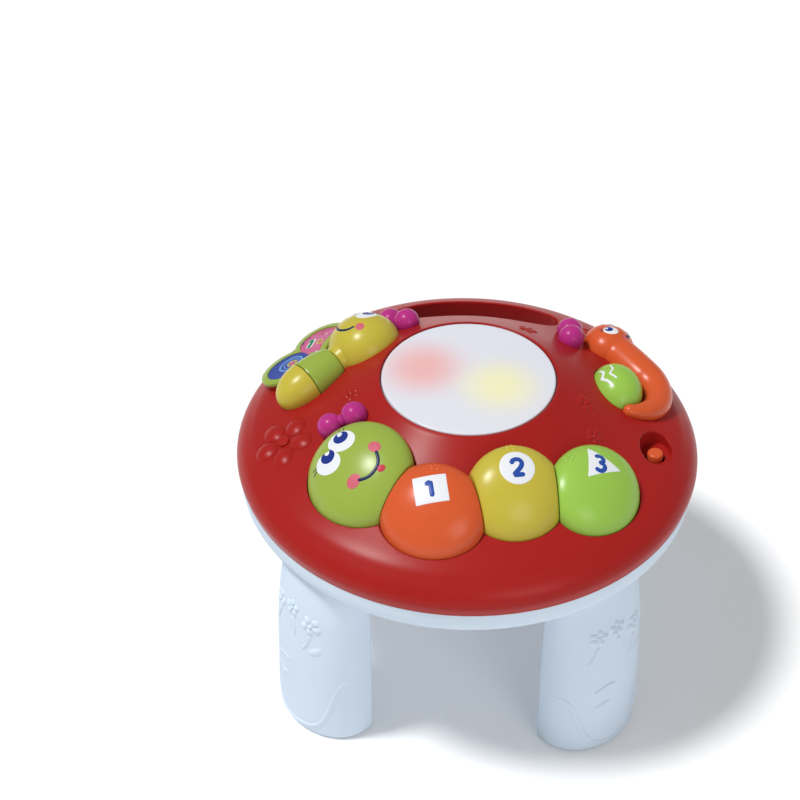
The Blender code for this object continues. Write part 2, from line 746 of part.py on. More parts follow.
def build_butterfly(seat):
    head, axis, outward, normal = body_axes()
    along_z = frame_matrix(head, normal, outward, axis)
    along_x = frame_matrix(head, axis, outward, normal)
    start = BUG_HEAD_RADIUS + RUN_CLEARANCE - HINGE_HEIGHT * axis.z
    end = BUG_BODY_LENGTH - RUN_CLEARANCE
    bore = AXLE_RADIUS + JOINT_GAP

    dome_place = surface_frame(head.x, head.y)
    head_dome = ellipsoid("butterfly_head", BUG_HEAD_RADIUS, BUG_HEAD_RADIUS, BUG_HEAD_HEIGHT,
                          FIGURE_SEGMENTS, 12, dome_place, colour=YELLOW, roughness=0.25)
    bore_low = start - AXLE_BITE_LENGTH - JOINT_GAP
    bore_high = end + AXLE_BITE_LENGTH + JOINT_GAP
    axle_bore = rod("axle_bore", bore, bore_low, bore_high, ROD_SEGMENTS, along_z)
    cut(head_dome, seat, axle_bore)

    steps = 6
    profile = [(bore, start)]
    for step in range(steps + 1):
        along = start + (end - start) * step / steps
        profile.append((body_radius(along), along))
    profile.append((bore, end))
    barrel = turned("butterfly_wing", profile, FIGURE_SEGMENTS, along_z, closed_loop=True, colour=LIME,
                    roughness=0.3)
    wing_top = WING_UNDERSIDE_HEIGHT + WING_THICKNESS
    wing = prism("wing_blade", wing_outline(), WING_UNDERSIDE_HEIGHT, wing_top, along_x)
    fuse(barrel, wing)

    tail_profile = [(0, end + RUN_CLEARANCE)]
    rows = 8
    for step in range(rows):
        angle = math.pi / 2 * step / rows
        along = BUG_BODY_LENGTH + BUG_TAIL_LENGTH * math.sin(angle)
        tail_profile.append((BUG_BODY_RADIUS * math.cos(angle), along))
    tail_profile.append((0, BUG_BODY_LENGTH + BUG_TAIL_LENGTH))
    tail = turned("butterfly_tail", tail_profile, FIGURE_SEGMENTS, along_z, colour=YELLOW, roughness=0.25)
    tail_room = [(0, end)]
    tail_room += [(radius + RUN_CLEARANCE, along) for radius, along in tail_profile[1:-1]]
    tail_room += [(0, BUG_BODY_LENGTH + BUG_TAIL_LENGTH + RUN_CLEARANCE)]
    tail_room[1] = (tail_room[1][0], end)
    cut(barrel, turned("tail_clearance", tail_room, FIGURE_SEGMENTS, along_z, phase=ROD_PHASE))
    cut(tail, seat, axle_bore)

    move_origin(barrel, head)
    rod("wing_axle", AXLE_RADIUS, start - AXLE_BITE_LENGTH, end + AXLE_BITE_LENGTH, ROD_SEGMENTS, along_z,
        colour=STEEL, roughness=0.3, metallic=1.0)

    pocket = [(0, start - RUN_CLEARANCE)]
    block = [(0, start - RUN_CLEARANCE - SHELL_WALL)]
    for step in range(steps + 1):
        along = start + (end - start) * step / steps
        spread = 2 * step / steps - 1
        at = along + RUN_CLEARANCE * spread
        room = body_radius(along) + RUN_CLEARANCE
        pocket.append((room, at))
        block.append((room + SHELL_WALL, at + SHELL_WALL * spread))
    pocket.append((0, end + RUN_CLEARANCE))
    block.append((0, end + RUN_CLEARANCE + SHELL_WALL))
    pocket_cut = turned("barrel_pocket", pocket, FIGURE_SEGMENTS, along_z, phase=ROD_PHASE)
    pocket_block = turned("barrel_block", block, FIGURE_SEGMENTS, along_z)

    rest_outline = []
    count = 24
    for step in range(count):
        angle = 2 * math.pi * step / count
        rest_x = WING_LOWER_CENTRE[0] + (WING_LOWER_HALF_LENGTH - WING_THICKNESS) * math.cos(angle)
        rest_y = WING_LOWER_CENTRE[1] + (WING_LOWER_HALF_WIDTH - WING_THICKNESS) * math.sin(angle)
        rest_outline.append((rest_x, rest_y + WING_THICKNESS / 2))
    low = -HINGE_HEIGHT - WING_THICKNESS
    wing_rest = prism("wing_rest", rest_outline, low, WING_UNDERSIDE_HEIGHT - JOINT_GAP, along_x)
    peg_spots = [(head.x, head.y)]
    tail_peg = head + axis * (BUG_BODY_LENGTH + BUG_TAIL_LENGTH / 2)
    peg_spots.append((tail_peg.x, tail_peg.y))
    return {
        "pocket": pocket_cut, "block": pocket_block, "rest": wing_rest, "head": head_dome, "tail": tail,
        "pegs": dict(zip(("butterfly_head", "butterfly_tail"), peg_spots)),
    }


def add_peg(item, spot):
    """A round peg under a fixed figure that passes down through the shell."""
    x, y = spot
    level = dome_level(math.hypot(x, y))
    place = Matrix.Translation((x, y, 0))
    low = at_seam(level - SHELL_WALL - PEG_LENGTH)
    high = at_seam(level + PEG_RADIUS + JOINT_GAP)
    peg = rod("peg_" + item.name, PEG_RADIUS, low, high, ROD_SEGMENTS, place)
    fuse(item, peg)


def build_bow(name, balls, seat, neighbour=None):
    """Two balls and the knot between them, with a peg under the knot."""
    places = [surface_frame(*polar(RIM_RADIUS * share, bearing), BOW_HEIGHT) for share, bearing in balls]
    halves = (BOW_BALL_RADIUS, BOW_BALL_RADIUS, BOW_BALL_RADIUS)
    item = ellipsoid(name, *halves, 14, 7, places[0], colour=MAGENTA, roughness=0.25)
    other = ellipsoid(name + "_ball", *halves, 14, 7, places[1])
    first = places[0].translation
    second = places[1].translation
    run = second - first
    knot = run.to_track_quat("Z", "Y").to_matrix().to_4x4()
    knot.translation = first
    band = rod(name + "_knot", BOW_BALL_RADIUS * 0.5, 0, run.length, ROD_SEGMENTS, knot)
    fuse(item, other, band)
    cut(item, seat)
    if neighbour is not None:
        cut(item, neighbour)
    middle = (first + second) / 2
    return item, (middle.x, middle.y)


def build_snail(seat):
    head = polar(SNAIL_HEAD_REACH, SNAIL_HEAD_BEARING)
    egg = polar(EGG_REACH, EGG_BEARING)
    head_place = surface_frame(*head, SNAIL_LIFT_HEIGHT)
    body = ellipsoid("snail_body", SNAIL_HEAD_RADIUS, SNAIL_HEAD_RADIUS, SNAIL_HEAD_HEIGHT,
                     FIGURE_SEGMENTS, 10, head_place, colour=ORANGE, roughness=0.25)

    path = [Vector((*head, 0))]
    turns = 11
    start_angle = math.radians(SNAIL_TAIL_START_ANGLE)
    sweep = math.radians(SNAIL_TAIL_TURN_ANGLE)
    for step in range(turns + 1):
        angle = start_angle + sweep * step / turns
        swing = Vector((math.cos(angle), math.sin(angle), 0)) * SNAIL_TAIL_SWEEP_RADIUS
        path.append(Vector((*egg, 0)) + swing)
    for point in path:
        point.z = at_seam(dome_level(point.to_2d().length) + SNAIL_TAIL_HEIGHT)
    loops = [[path[0]]]
    last = len(path) - 1
    for index in range(1, len(path)):
        ahead = path[min(index + 1, last)] - path[index - 1]
        side = Vector((0, 0, 1)).cross(ahead).normalized()
        up = ahead.cross(side).normalized()
        share = (index - 1) / (last - 1)
        radius = SNAIL_TAIL_RADIUS * (1 - SNAIL_TAIL_TAPER_SHARE * share ** SNAIL_TAIL_TAPER_POWER)
        loops.append(circle_loop(path[index], side, up, radius, 14))
    tip_run = (path[last] - path[last - 1]).normalized()
    tip = path[last] + tip_run * SNAIL_TAIL_RADIUS * 0.34
    side = Vector((0, 0, 1)).cross(tip_run).normalized()
    up = tip_run.cross(side).normalized()
    loops.append(circle_loop(tip, side, up, SNAIL_TAIL_RADIUS * 0.28, 14))
    loops.append([tip + tip_run * SNAIL_TAIL_RADIUS * 0.12])
    tail = stack("snail_tail", loops)
    fuse(body, tail)

    egg_place = surface_frame(*egg, -EGG_SINK_DEPTH)
    frame = egg_place.to_3x3()
    axis = frame.col[0]
    if axis.y < 0:
        axis = -axis
    upward = frame.col[2]
    outward = axis.cross(upward)
    if outward.x < 0:
        outward = -outward
    origin = egg_place.translation
    split = math.radians(EGG_SPLIT_BEARING)
    facing = upward * math.cos(split) + outward * math.sin(split)
    beside = axis.cross(facing)
    spin = frame_matrix(origin, facing, beside, axis)
    bore_radius = EGG_AXLE_RADIUS + JOINT_GAP
    bore_reach = EGG_HALF_LENGTH + OVERRUN_LENGTH
    bore = rod("egg_bore", bore_radius, -bore_reach, bore_reach, ROD_SEGMENTS, spin)
    for name, colour, sign in (("egg_roller_green", GREEN, 1), ("egg_roller_orange", ORANGE, -1)):
        half = egg_solid(name, 0, spin, colour=colour, roughness=0.25)
        reach = EGG_HALF_LENGTH + EGG_RADIUS
        gap = JOINT_GAP / 2
        outline = [(gap * sign, -reach), (reach * sign, -reach), (reach * sign, reach), (gap * sign, reach)]
        keep = prism("half_space_" + name, outline, -reach, reach, spin)
        boolean(half, keep, "INTERSECT")
        cut(half, bore)
        move_origin(half, origin)
    pin_reach = EGG_HALF_LENGTH + EGG_AXLE_BITE_LENGTH
    rod("egg_axle", EGG_AXLE_RADIUS, -pin_reach, pin_reach, ROD_SEGMENTS, spin,
        colour=STEEL, roughness=0.3, metallic=1.0)
    pocket = egg_solid("egg_pocket", RUN_CLEARANCE, spin)
    block = egg_solid("egg_block", RUN_CLEARANCE + SHELL_WALL, spin)
    boss_reach = pin_reach + SHELL_WALL
    boss = rod("axle_boss", EGG_AXLE_RADIUS + SHELL_WALL, -boss_reach, boss_reach, ROD_SEGMENTS, spin)
    fuse(block, boss)
    hole_reach = pin_reach + JOINT_GAP
    pin_hole = rod("axle_hole", bore_radius, -hole_reach, hole_reach, ROD_SEGMENTS, spin)
    cut(body, seat, pocket)
    return {
        "pocket": pocket, "block": block, "pin_hole": pin_hole, "body": body,
        "pegs": [tuple(head), (path[6].x, path[6].y)],
    }


def circle_loop(centre, side, up, radius, count):
    loop = []
    for step in range(count):
        angle = 2 * math.pi * step / count
        loop.append(centre + side * (radius * math.cos(angle)) + up * (radius * math.sin(angle)))
    return loop


def egg_solid(name, margin, place, **look):
    rows = 10
    profile = [(0, EGG_HALF_LENGTH + margin)]
    for step in range(1, rows):
        angle = math.pi * step / rows
        radius = (EGG_RADIUS + margin) * math.sin(angle)
        profile.append((radius, (EGG_HALF_LENGTH + margin) * math.cos(angle)))
    profile.append((0, -EGG_HALF_LENGTH - margin))
    return turned(name, profile, FIGURE_SEGMENTS, place, **look)


def oval_outline(centre, bearing, half_radial, half_tangent):
    angle = math.radians(bearing)
    count = 24
    points = []
    for step in range(count):
        turn = 2 * math.pi * step / count
        out = half_radial * math.cos(turn)
        side = half_tangent * math.sin(turn)
        x = centre[0] + out * math.sin(angle) + side * math.cos(angle)
        y = centre[1] - out * math.cos(angle) + side * math.sin(angle)
        points.append((x, y))
    return points


def turned_box(centre, bearing, half_radial, half_tangent):
    angle = math.radians(bearing)
    points = []
    for out, side in ((-1, -1), (1, -1), (1, 1), (-1, 1)):
        out_reach = out * half_radial
        side_reach = side * half_tangent
        points.append((centre[0] + out_reach * math.sin(angle) + side_reach * math.cos(angle),
                       centre[1] - out_reach * math.cos(angle) + side_reach * math.sin(angle)))
    return points


def build_switch():
    centre = polar(SWITCH_REACH, SWITCH_BEARING)
    floor = at_seam(DISH_FLOOR_HEIGHT)
    under = floor - DISH_FLOOR_WALL
    top = at_seam(DOME_HEIGHT)
    dish_outline = oval_outline(centre, SWITCH_BEARING, DISH_HALF_LENGTH, DISH_HALF_WIDTH)
    dish = prism("switch_dish", dish_outline, floor, top)
    block_halves = (DISH_HALF_LENGTH + SHELL_WALL, DISH_HALF_WIDTH + SHELL_WALL)
    block_outline = oval_outline(centre, SWITCH_BEARING, *block_halves)
    block = prism("dish_block", block_outline, under, top)
    slot_half = SWITCH_TRAVEL_LENGTH + KNOB_STEM_RADIUS + RUN_CLEARANCE
    slot_outline = turned_box(centre, SWITCH_BEARING, slot_half, KNOB_STEM_RADIUS + RUN_CLEARANCE)
    slot = prism("switch_slot", slot_outline, under - OVERRUN_LENGTH, floor + OVERRUN_LENGTH)

    spot = Matrix.Translation((centre[0], centre[1], 0))
    foot = floor + JOINT_GAP
    shoulder = foot + KNOB_HEIGHT * 0.7
    crown = foot + KNOB_HEIGHT
    stem_foot = under - JOINT_GAP * 2
    profile = (
        (0, stem_foot), (KNOB_STEM_RADIUS, stem_foot), (KNOB_STEM_RADIUS, foot), (KNOB_HALF_LENGTH, foot),
        (KNOB_HALF_LENGTH, shoulder), (KNOB_HALF_LENGTH * 0.7, crown), (0, crown),
    )
    knob = turned("switch_knob", profile, 18, spot, colour=ORANGE, roughness=0.3)
    move_origin(knob, (centre[0], centre[1], floor))
    body_top = stem_foot - JOINT_GAP
    body_outline = turned_box(centre, SWITCH_BEARING, SWITCH_BODY_HALF_LENGTH, SWITCH_BODY_HALF_WIDTH)
    prism("slide_switch", body_outline, body_top - SWITCH_BODY_HEIGHT, body_top,
          colour=STEEL, roughness=0.4, metallic=1.0)
    return {"dish": dish, "block": block, "slot": slot}


def join_cutters(name, items):
    """One hidden cutter made of several separate solids."""
    points = []
    faces = []
    for item in items:
        base = len(points)
        points.extend([vertex.co.copy() for vertex in item.data.vertices])
        faces.extend([tuple(base + index for index in face.vertices) for face in item.data.polygons])
        bpy.data.objects.remove(item)
    return mesh_object(name, points, faces)


def screw_spots():
    return {name: polar(SCREW_CIRCLE_RADIUS, bearing) for name, bearing in SCREW_BEARINGS.items()}


def build_housing(figures, snail, switch, key_openings, peg_spots):
    overrun_low = -OVERRUN_LENGTH
    shell = dome_solid("top_shell", 0, 0, HOUSING_SEGMENTS, colour=RED, roughness=0.3)
    cavity = dome_solid("shell_cavity", -SHELL_WALL, overrun_low, HOUSING_SEGMENTS)
    column_top = at_seam(DOME_HEIGHT)
    column_foot = at_seam(overrun_low) - OVERRUN_LENGTH
    handle_column = prism("handle_column", handle_outline(SHELL_WALL), column_foot, column_top)
    posts = []
    pilots = []
    for name, (x, y) in screw_spots().items():
        spot = Matrix.Translation((x, y, 0))
        narrow = SCREW_SHANK_RADIUS + JOINT_GAP
        posts.append(rod("post_" + name, narrow + POST_WALL, column_foot, column_top, ROD_SEGMENTS, spot))
        tip = at_seam(SCREW_LENGTH - TRAY_DEPTH + SCREW_HEAD_HEIGHT) + JOINT_GAP
        pilots.append(rod("pilot_" + name, narrow, at_seam(overrun_low), tip, ROD_SEGMENTS, spot))
    post_set = join_cutters("shell_posts", posts)
    cut(cavity, handle_column, post_set, figures["block"], snail["block"], switch["block"])

    fuse(shell, figures["rest"])
    cut(shell, cavity)
    hole = prism("handle_hole", handle_outline(0), -OVERRUN_LENGTH, column_top + OVERRUN_LENGTH)
    cut(shell, hole, figures["pocket"], snail["pocket"], snail["pin_hole"], switch["dish"], switch["slot"])
    for opening in key_openings:
        cut(shell, opening)
    disc_room = DISC_RADIUS + DISC_CLEARANCE
    disc_top = column_top + OVERRUN_LENGTH
    disc_hole = rod("disc_opening", disc_room, at_seam(DOME_HEIGHT / 2), disc_top, HOUSING_SEGMENTS)
    cut(shell, disc_hole)
    holes = []
    for index, (x, y) in enumerate(peg_spots):
        level = at_seam(dome_level(math.hypot(x, y)))
        reach = SHELL_WALL + PEG_LENGTH
        low = level - reach - OVERRUN_LENGTH / 4
        high = level + OVERRUN_LENGTH / 2
        spot = Matrix.Translation((x, y, 0))
        holes.append(rod("peg_hole_" + str(index), PEG_RADIUS + JOINT_GAP, low, high, ROD_SEGMENTS, spot))
    cut(shell, join_cutters("shell_holes", holes + pilots))
    return hole


def leg_section(width_share, bulge_share, inset):
    """D-shaped section: a round outer side and a flat back with rounded corners."""
    count = 12
    half_width = LEG_HALF_WIDTH * width_share - inset
    bulge = LEG_BULGE_DEPTH * bulge_share - inset
    back = LEG_BACK_DEPTH - inset
    points = []
    for step in range(count + 1):
        angle = math.pi * step / count
        points.append((half_width * math.cos(angle), bulge * math.sin(angle)))
    corner = LEG_CORNER_RADIUS
    for side in (-1, 1):
        turns = (0, 1, 2) if side < 0 else (2, 1, 0)
        for turn in turns:
            angle = math.pi / 2 * turn / 2
            points.append((side * (half_width - corner + corner * math.cos(angle)),
                           -back + corner - corner * math.sin(angle)))
    return points


def leg_place(bearing, level=0.0):
    """Leg coordinates: x along the rim, y outwards from the table's centre, z up."""
    x, y = polar(LEG_REACH, bearing)
    outward = Vector((x, y, 0)).normalized()
    along = Vector((outward.y, -outward.x, 0))
    return frame_matrix(Vector((x, y, level)), along, outward, Vector((0, 0, 1)))


def build_legs():
    """Each leg is one hollow moulding: sole and walls, shoulder under the tray, open spigot."""
    height = SEAM_HEIGHT - TRAY_DEPTH - JOINT_GAP
    _, top_width, top_bulge = LEG_SHARES[-1]
    spigot_wall = LEG_SPIGOT_INSET_DEPTH + LEG_WALL
    pockets = []
    blocks = []
    for name, bearing in LEG_BEARINGS.items():
        place = leg_place(bearing)

        def ring(width_share, bulge_share, inset, level):
            return [place @ Vector((x, y, level)) for x, y in leg_section(width_share, bulge_share, inset)]

        loops = [ring(width, bulge, 0, height * level) for level, width, bulge in LEG_SHARES]
        loops.append(ring(top_width, top_bulge, LEG_SPIGOT_INSET_DEPTH, height))
        loops.append(ring(top_width, top_bulge, LEG_SPIGOT_INSET_DEPTH, height + LEG_SPIGOT_HEIGHT))
        loops.append(ring(top_width, top_bulge, spigot_wall, height + LEG_SPIGOT_HEIGHT))
        loops.append(ring(top_width, top_bulge, spigot_wall, height - LEG_SPIGOT_INSET_DEPTH))
        for level, width, bulge in reversed(LEG_SHARES[2:-1]):
            loops.append(ring(width, bulge, LEG_WALL, height * level))
        loops.append(ring(*LEG_SHARES[0][1:], LEG_WALL, LEG_WALL))
        leg = stack("leg_" + name, loops, colour=WHITE, roughness=0.45)
        move_origin(leg, place.translation)

        floor = SEAM_HEIGHT - TRAY_DEPTH
        fit = LEG_SPIGOT_INSET_DEPTH - KEY_CLEARANCE
        pocket_top = floor + LEG_SPIGOT_HEIGHT + RUN_CLEARANCE
        outline = leg_section(top_width, top_bulge, fit)
        pockets.append(prism("pocket_" + name, outline, floor - OVERRUN_LENGTH, pocket_top, place))
        wide = leg_section(top_width, top_bulge, fit - TRAY_FLOOR)
        block_top = pocket_top + TRAY_FLOOR
        blocks.append(prism("pocket_block_" + name, wide, floor + TRAY_FLOOR / 2, block_top, place))
    return join_cutters("leg_pockets", pockets), join_cutters("leg_pocket_blocks", blocks)


def build_tray(handle_hole, pockets, pocket_blocks):
    floor = -TRAY_DEPTH
    outer = [(RIM_RADIUS * across, floor * down) for across, down in TRAY_SHARES]
    lip_radius = RIM_RADIUS - SHELL_WALL - LIP_CLEARANCE
    top = -JOINT_GAP
    wall_radius = lip_radius - TRAY_LIP_WALL
    inside = floor + TRAY_FLOOR
    corner = TRAY_SIDE_WALL
    profile = [(0, floor)] + outer
    profile += [(outer[-1][0], top), (lip_radius, top), (lip_radius, TRAY_LIP_HEIGHT)]
    profile += [(wall_radius, TRAY_LIP_HEIGHT), (wall_radius, inside + corner * 1.5)]
    profile += [(wall_radius - corner * 0.4, inside + corner * 0.4), (wall_radius - corner * 1.5, inside)]
    profile.append((0, inside))
    tray = turned("bottom_tray", [(radius, at_seam(height)) for radius, height in profile], HOUSING_SEGMENTS,
                  colour=WHITE, roughness=0.4)
    root = at_seam(floor + TRAY_FLOOR / 2)
    column = prism("tray_handle_column", handle_outline(SHELL_WALL), root, at_seam(top))
    low = at_seam(floor - OVERRUN_LENGTH)

    posts = []
    holes = []
    for name, (x, y) in screw_spots().items():
        spot = Matrix.Translation((x, y, 0))
        wide = SCREW_HEAD_RADIUS + JOINT_GAP
        tower_top = at_seam(top - JOINT_GAP)
        posts.append(rod("tower_" + name, wide + POST_WALL / 2, root, tower_top, ROD_SEGMENTS, spot))
        sink = at_seam(floor + SCREW_HEAD_HEIGHT + JOINT_GAP)
        narrow = SCREW_SHANK_RADIUS + JOINT_GAP
        high = at_seam(OVERRUN_LENGTH)
        profile = ((0, low), (wide, low), (wide, sink), (narrow, sink), (narrow, high), (0, high))
        holes.append(turned("screw_hole_" + name, profile, ROD_SEGMENTS, spot, phase=ROD_PHASE + 0.5))
        head_low = at_seam(floor)
        head_top = head_low + SCREW_HEAD_HEIGHT
        tip = head_top + SCREW_LENGTH
        screw = (
            (0, head_low), (SCREW_HEAD_RADIUS, head_low), (SCREW_HEAD_RADIUS, head_top),
            (SCREW_SHANK_RADIUS, head_top), (SCREW_SHANK_RADIUS, tip - SCREW_SHANK_RADIUS), (0, tip),
        )
        turned("housing_screw_" + name, screw, ROD_SEGMENTS, spot, phase=ROD_PHASE,
               colour=STEEL, roughness=0.35, metallic=1.0)
    for index, (x_share, y_share) in enumerate(BOARD_POST_SHARES):
        spot = Matrix.Translation((RIM_RADIUS * x_share, RIM_RADIUS * y_share, 0))
        post_top = at_seam(BOARD_HEIGHT - JOINT_GAP)
        posts.append(rod("board_post_" + str(index), BOARD_POST_RADIUS, root, post_top, ROD_SEGMENTS, spot))
    tower_set = join_cutters("tray_posts", posts)

    bay_front = -BAY_HALF_LENGTH
    bay_back = BAY_HALF_LENGTH
    bay_ceiling = inside + CELL_RADIUS * 2 + RUN_CLEARANCE * 2
    ledge = DOOR_LEDGE_WIDTH
    door_half_width = BAY_HALF_WIDTH + ledge
    door_front = bay_front - ledge
    door_back = bay_back + ledge + DOOR_TAB_LENGTH
    door_outline = box_outline(-door_half_width, door_half_width, door_front, door_back)
    recess_half_width = door_half_width + JOINT_GAP
    recess_front = door_front - JOINT_GAP
    recess_back = door_back + JOINT_GAP
    recess = box_outline(-recess_half_width, recess_half_width, recess_front, recess_back)
    block_half_width = recess_half_width + BAY_WALL
    block_front = recess_front - BAY_WALL
    block_outline = box_outline(-block_half_width, block_half_width, block_front, recess_back + BAY_WALL)
    bay_block = prism("bay_block", block_outline, root, at_seam(bay_ceiling + TRAY_FLOOR))
    bay_outline = box_outline(-BAY_HALF_WIDTH, BAY_HALF_WIDTH, bay_front, bay_back)
    bay = prism("battery_bay", bay_outline, low, at_seam(bay_ceiling))
    door_recess = prism("door_recess", recess, low, at_seam(inside + JOINT_GAP))
    door = prism("battery_door", door_outline, at_seam(floor), at_seam(inside), colour=WHITE, roughness=0.45)
    door_screw_y = bay_back + ledge + DOOR_TAB_LENGTH / 2
    door_spot = Matrix.Translation((0, door_screw_y, 0))
    head_room = SCREW_HEAD_RADIUS + JOINT_GAP
    shank_room = SCREW_SHANK_RADIUS + JOINT_GAP
    head_seat = at_seam(floor + SCREW_HEAD_HEIGHT - JOINT_GAP)
    bore_end = at_seam(floor + DOOR_SCREW_LENGTH + JOINT_GAP)
    door_hole = (
        (0, low), (head_room, low), (head_room, head_seat), (shank_room, head_seat), (shank_room, bore_end),
        (0, bore_end),
    )
    door_bore = turned("door_screw_hole", door_hole, ROD_SEGMENTS, door_spot)
    cut(door, door_bore)
    head_top = head_seat - JOINT_GAP
    tip = at_seam(floor + DOOR_SCREW_LENGTH)
    door_screw = (
        (0, at_seam(floor)), (SCREW_HEAD_RADIUS, at_seam(floor)), (SCREW_HEAD_RADIUS, head_top),
        (SCREW_SHANK_RADIUS, head_top), (SCREW_SHANK_RADIUS, tip - SCREW_SHANK_RADIUS), (0, tip),
    )
    turned("battery_door_screw", door_screw, ROD_SEGMENTS, door_spot,
           colour=STEEL, roughness=0.35, metallic=1.0)

    fuse(tray, column, tower_set, pocket_blocks, bay_block)
    cut(tray, join_cutters("tray_screw_holes", holes), handle_hole, pockets, bay, door_recess, door_bore)
    slots = []
    for step in (-2, -1, 0, 1, 2):
        y = SPEAKER_Y + step * GRILLE_SLOT_PITCH_LENGTH
        half = math.sqrt((SPEAKER_RADIUS * GRILLE_SHARE) ** 2 - (step * GRILLE_SLOT_PITCH_LENGTH) ** 2)
        outline = box_outline(-half, half, y - GRILLE_SLOT_WIDTH / 2, y + GRILLE_SLOT_WIDTH / 2)
        slots.append(prism("slot_" + str(step), outline, low, at_seam(inside + OVERRUN_LENGTH / 4)))
    cut(tray, join_cutters("speaker_grille", slots))
    weld(tray)
    return inside


def build_inside(inside):
    board_top = at_seam(BOARD_HEIGHT + BOARD_THICKNESS)
    half = math.sqrt(BOARD_RADIUS ** 2 - BOARD_BACK_Y ** 2)
    start = math.atan2(BOARD_BACK_Y, half)
    sweep = math.pi + 2 * start
    outline = []
    count = 36
    for step in range(count + 1):
        angle = start - sweep * step / count
        outline.append((BOARD_RADIUS * math.cos(angle), BOARD_RADIUS * math.sin(angle)))
    prism("circuit_board", outline, at_seam(BOARD_HEIGHT), board_top, colour=BOARD_GREEN, roughness=0.5)

    for index, (name, colour) in enumerate(LAMPS):
        angle = math.radians(LAMP_START_ANGLE + 120.0 * index)
        x = LAMP_CIRCLE_RADIUS * math.cos(angle)
        y = LAMP_CIRCLE_RADIUS * math.sin(angle) - LAMP_RADIUS
        spot = Matrix.Translation((x, y, 0))
        low = board_top + JOINT_GAP
        rise = LAMP_HEIGHT - LAMP_RADIUS
        profile = [(0, low), (LAMP_RADIUS * 1.15, low), (LAMP_RADIUS * 1.15, low + LAMP_RADIUS * 0.4),
                   (LAMP_RADIUS, low + LAMP_RADIUS * 0.4), (LAMP_RADIUS, low + rise)]
        for step in (1, 2):
            turn = math.pi / 2 * step / 3
            profile.append((LAMP_RADIUS * math.cos(turn), low + rise + LAMP_RADIUS * math.sin(turn)))
        profile.append((0, low + LAMP_HEIGHT))
        turned("lamp_" + name, profile, ROD_SEGMENTS, spot, colour=colour, roughness=0.2)

    spot = Matrix.Translation((0, SPEAKER_Y, 0))
    low = at_seam(inside + JOINT_GAP)
    profile = [(SPEAKER_RADIUS * across, low + SPEAKER_DEPTH * up) for across, up in SPEAKER_SHARES]
    turned("speaker", profile, 20, spot, colour=BLACK, roughness=0.6)

    level = at_seam(inside + JOINT_GAP * 2 + CELL_RADIUS)
    cap = CELL_RADIUS * 0.38
    nub = CELL_RADIUS * 0.14
    for index in (-1, 0, 1):
        turn = Matrix.Rotation(math.radians(-90 if index == 0 else 90), 4, "X")
        place = Matrix.Translation((index * CELL_PITCH_LENGTH, 0, level)) @ turn
        half_length = CELL_LENGTH / 2
        profile = (
            (0, -half_length), (CELL_RADIUS, -half_length), (CELL_RADIUS, half_length), (cap, half_length),
            (cap, half_length + nub), (0, half_length + nub),
        )
        turned("battery_" + str(index + 2), profile, 20, place, colour=BLACK, roughness=0.4)
    reach = BAY_HALF_LENGTH - JOINT_GAP
    width = BAY_HALF_WIDTH - CONTACT_THICKNESS
    for name, sign in (("front", -1), ("rear", 1)):
        near = sign * (reach - CONTACT_THICKNESS)
        far = sign * reach
        outline = box_outline(-width, width, min(near, far), max(near, far))
        foot = at_seam(inside + JOINT_GAP * 3)
        plate = prism("battery_contact_" + name, outline, foot, foot + CONTACT_HEIGHT,
                      colour=STEEL, roughness=0.3, metallic=1.0)
        for index in (-1, 0, 1):
            turn = Matrix.Rotation(math.radians(90), 4, "X")
            place = Matrix.Translation((index * CELL_PITCH_LENGTH, 0, level)) @ turn
            end = -sign * (reach - CONTACT_THICKNESS / 2)
            tip = -sign * (CELL_LENGTH / 2 + nub + JOINT_GAP)
            fuse(plate, rod("bump_" + name + str(index), cap, min(end, tip), max(end, tip), 10, place))


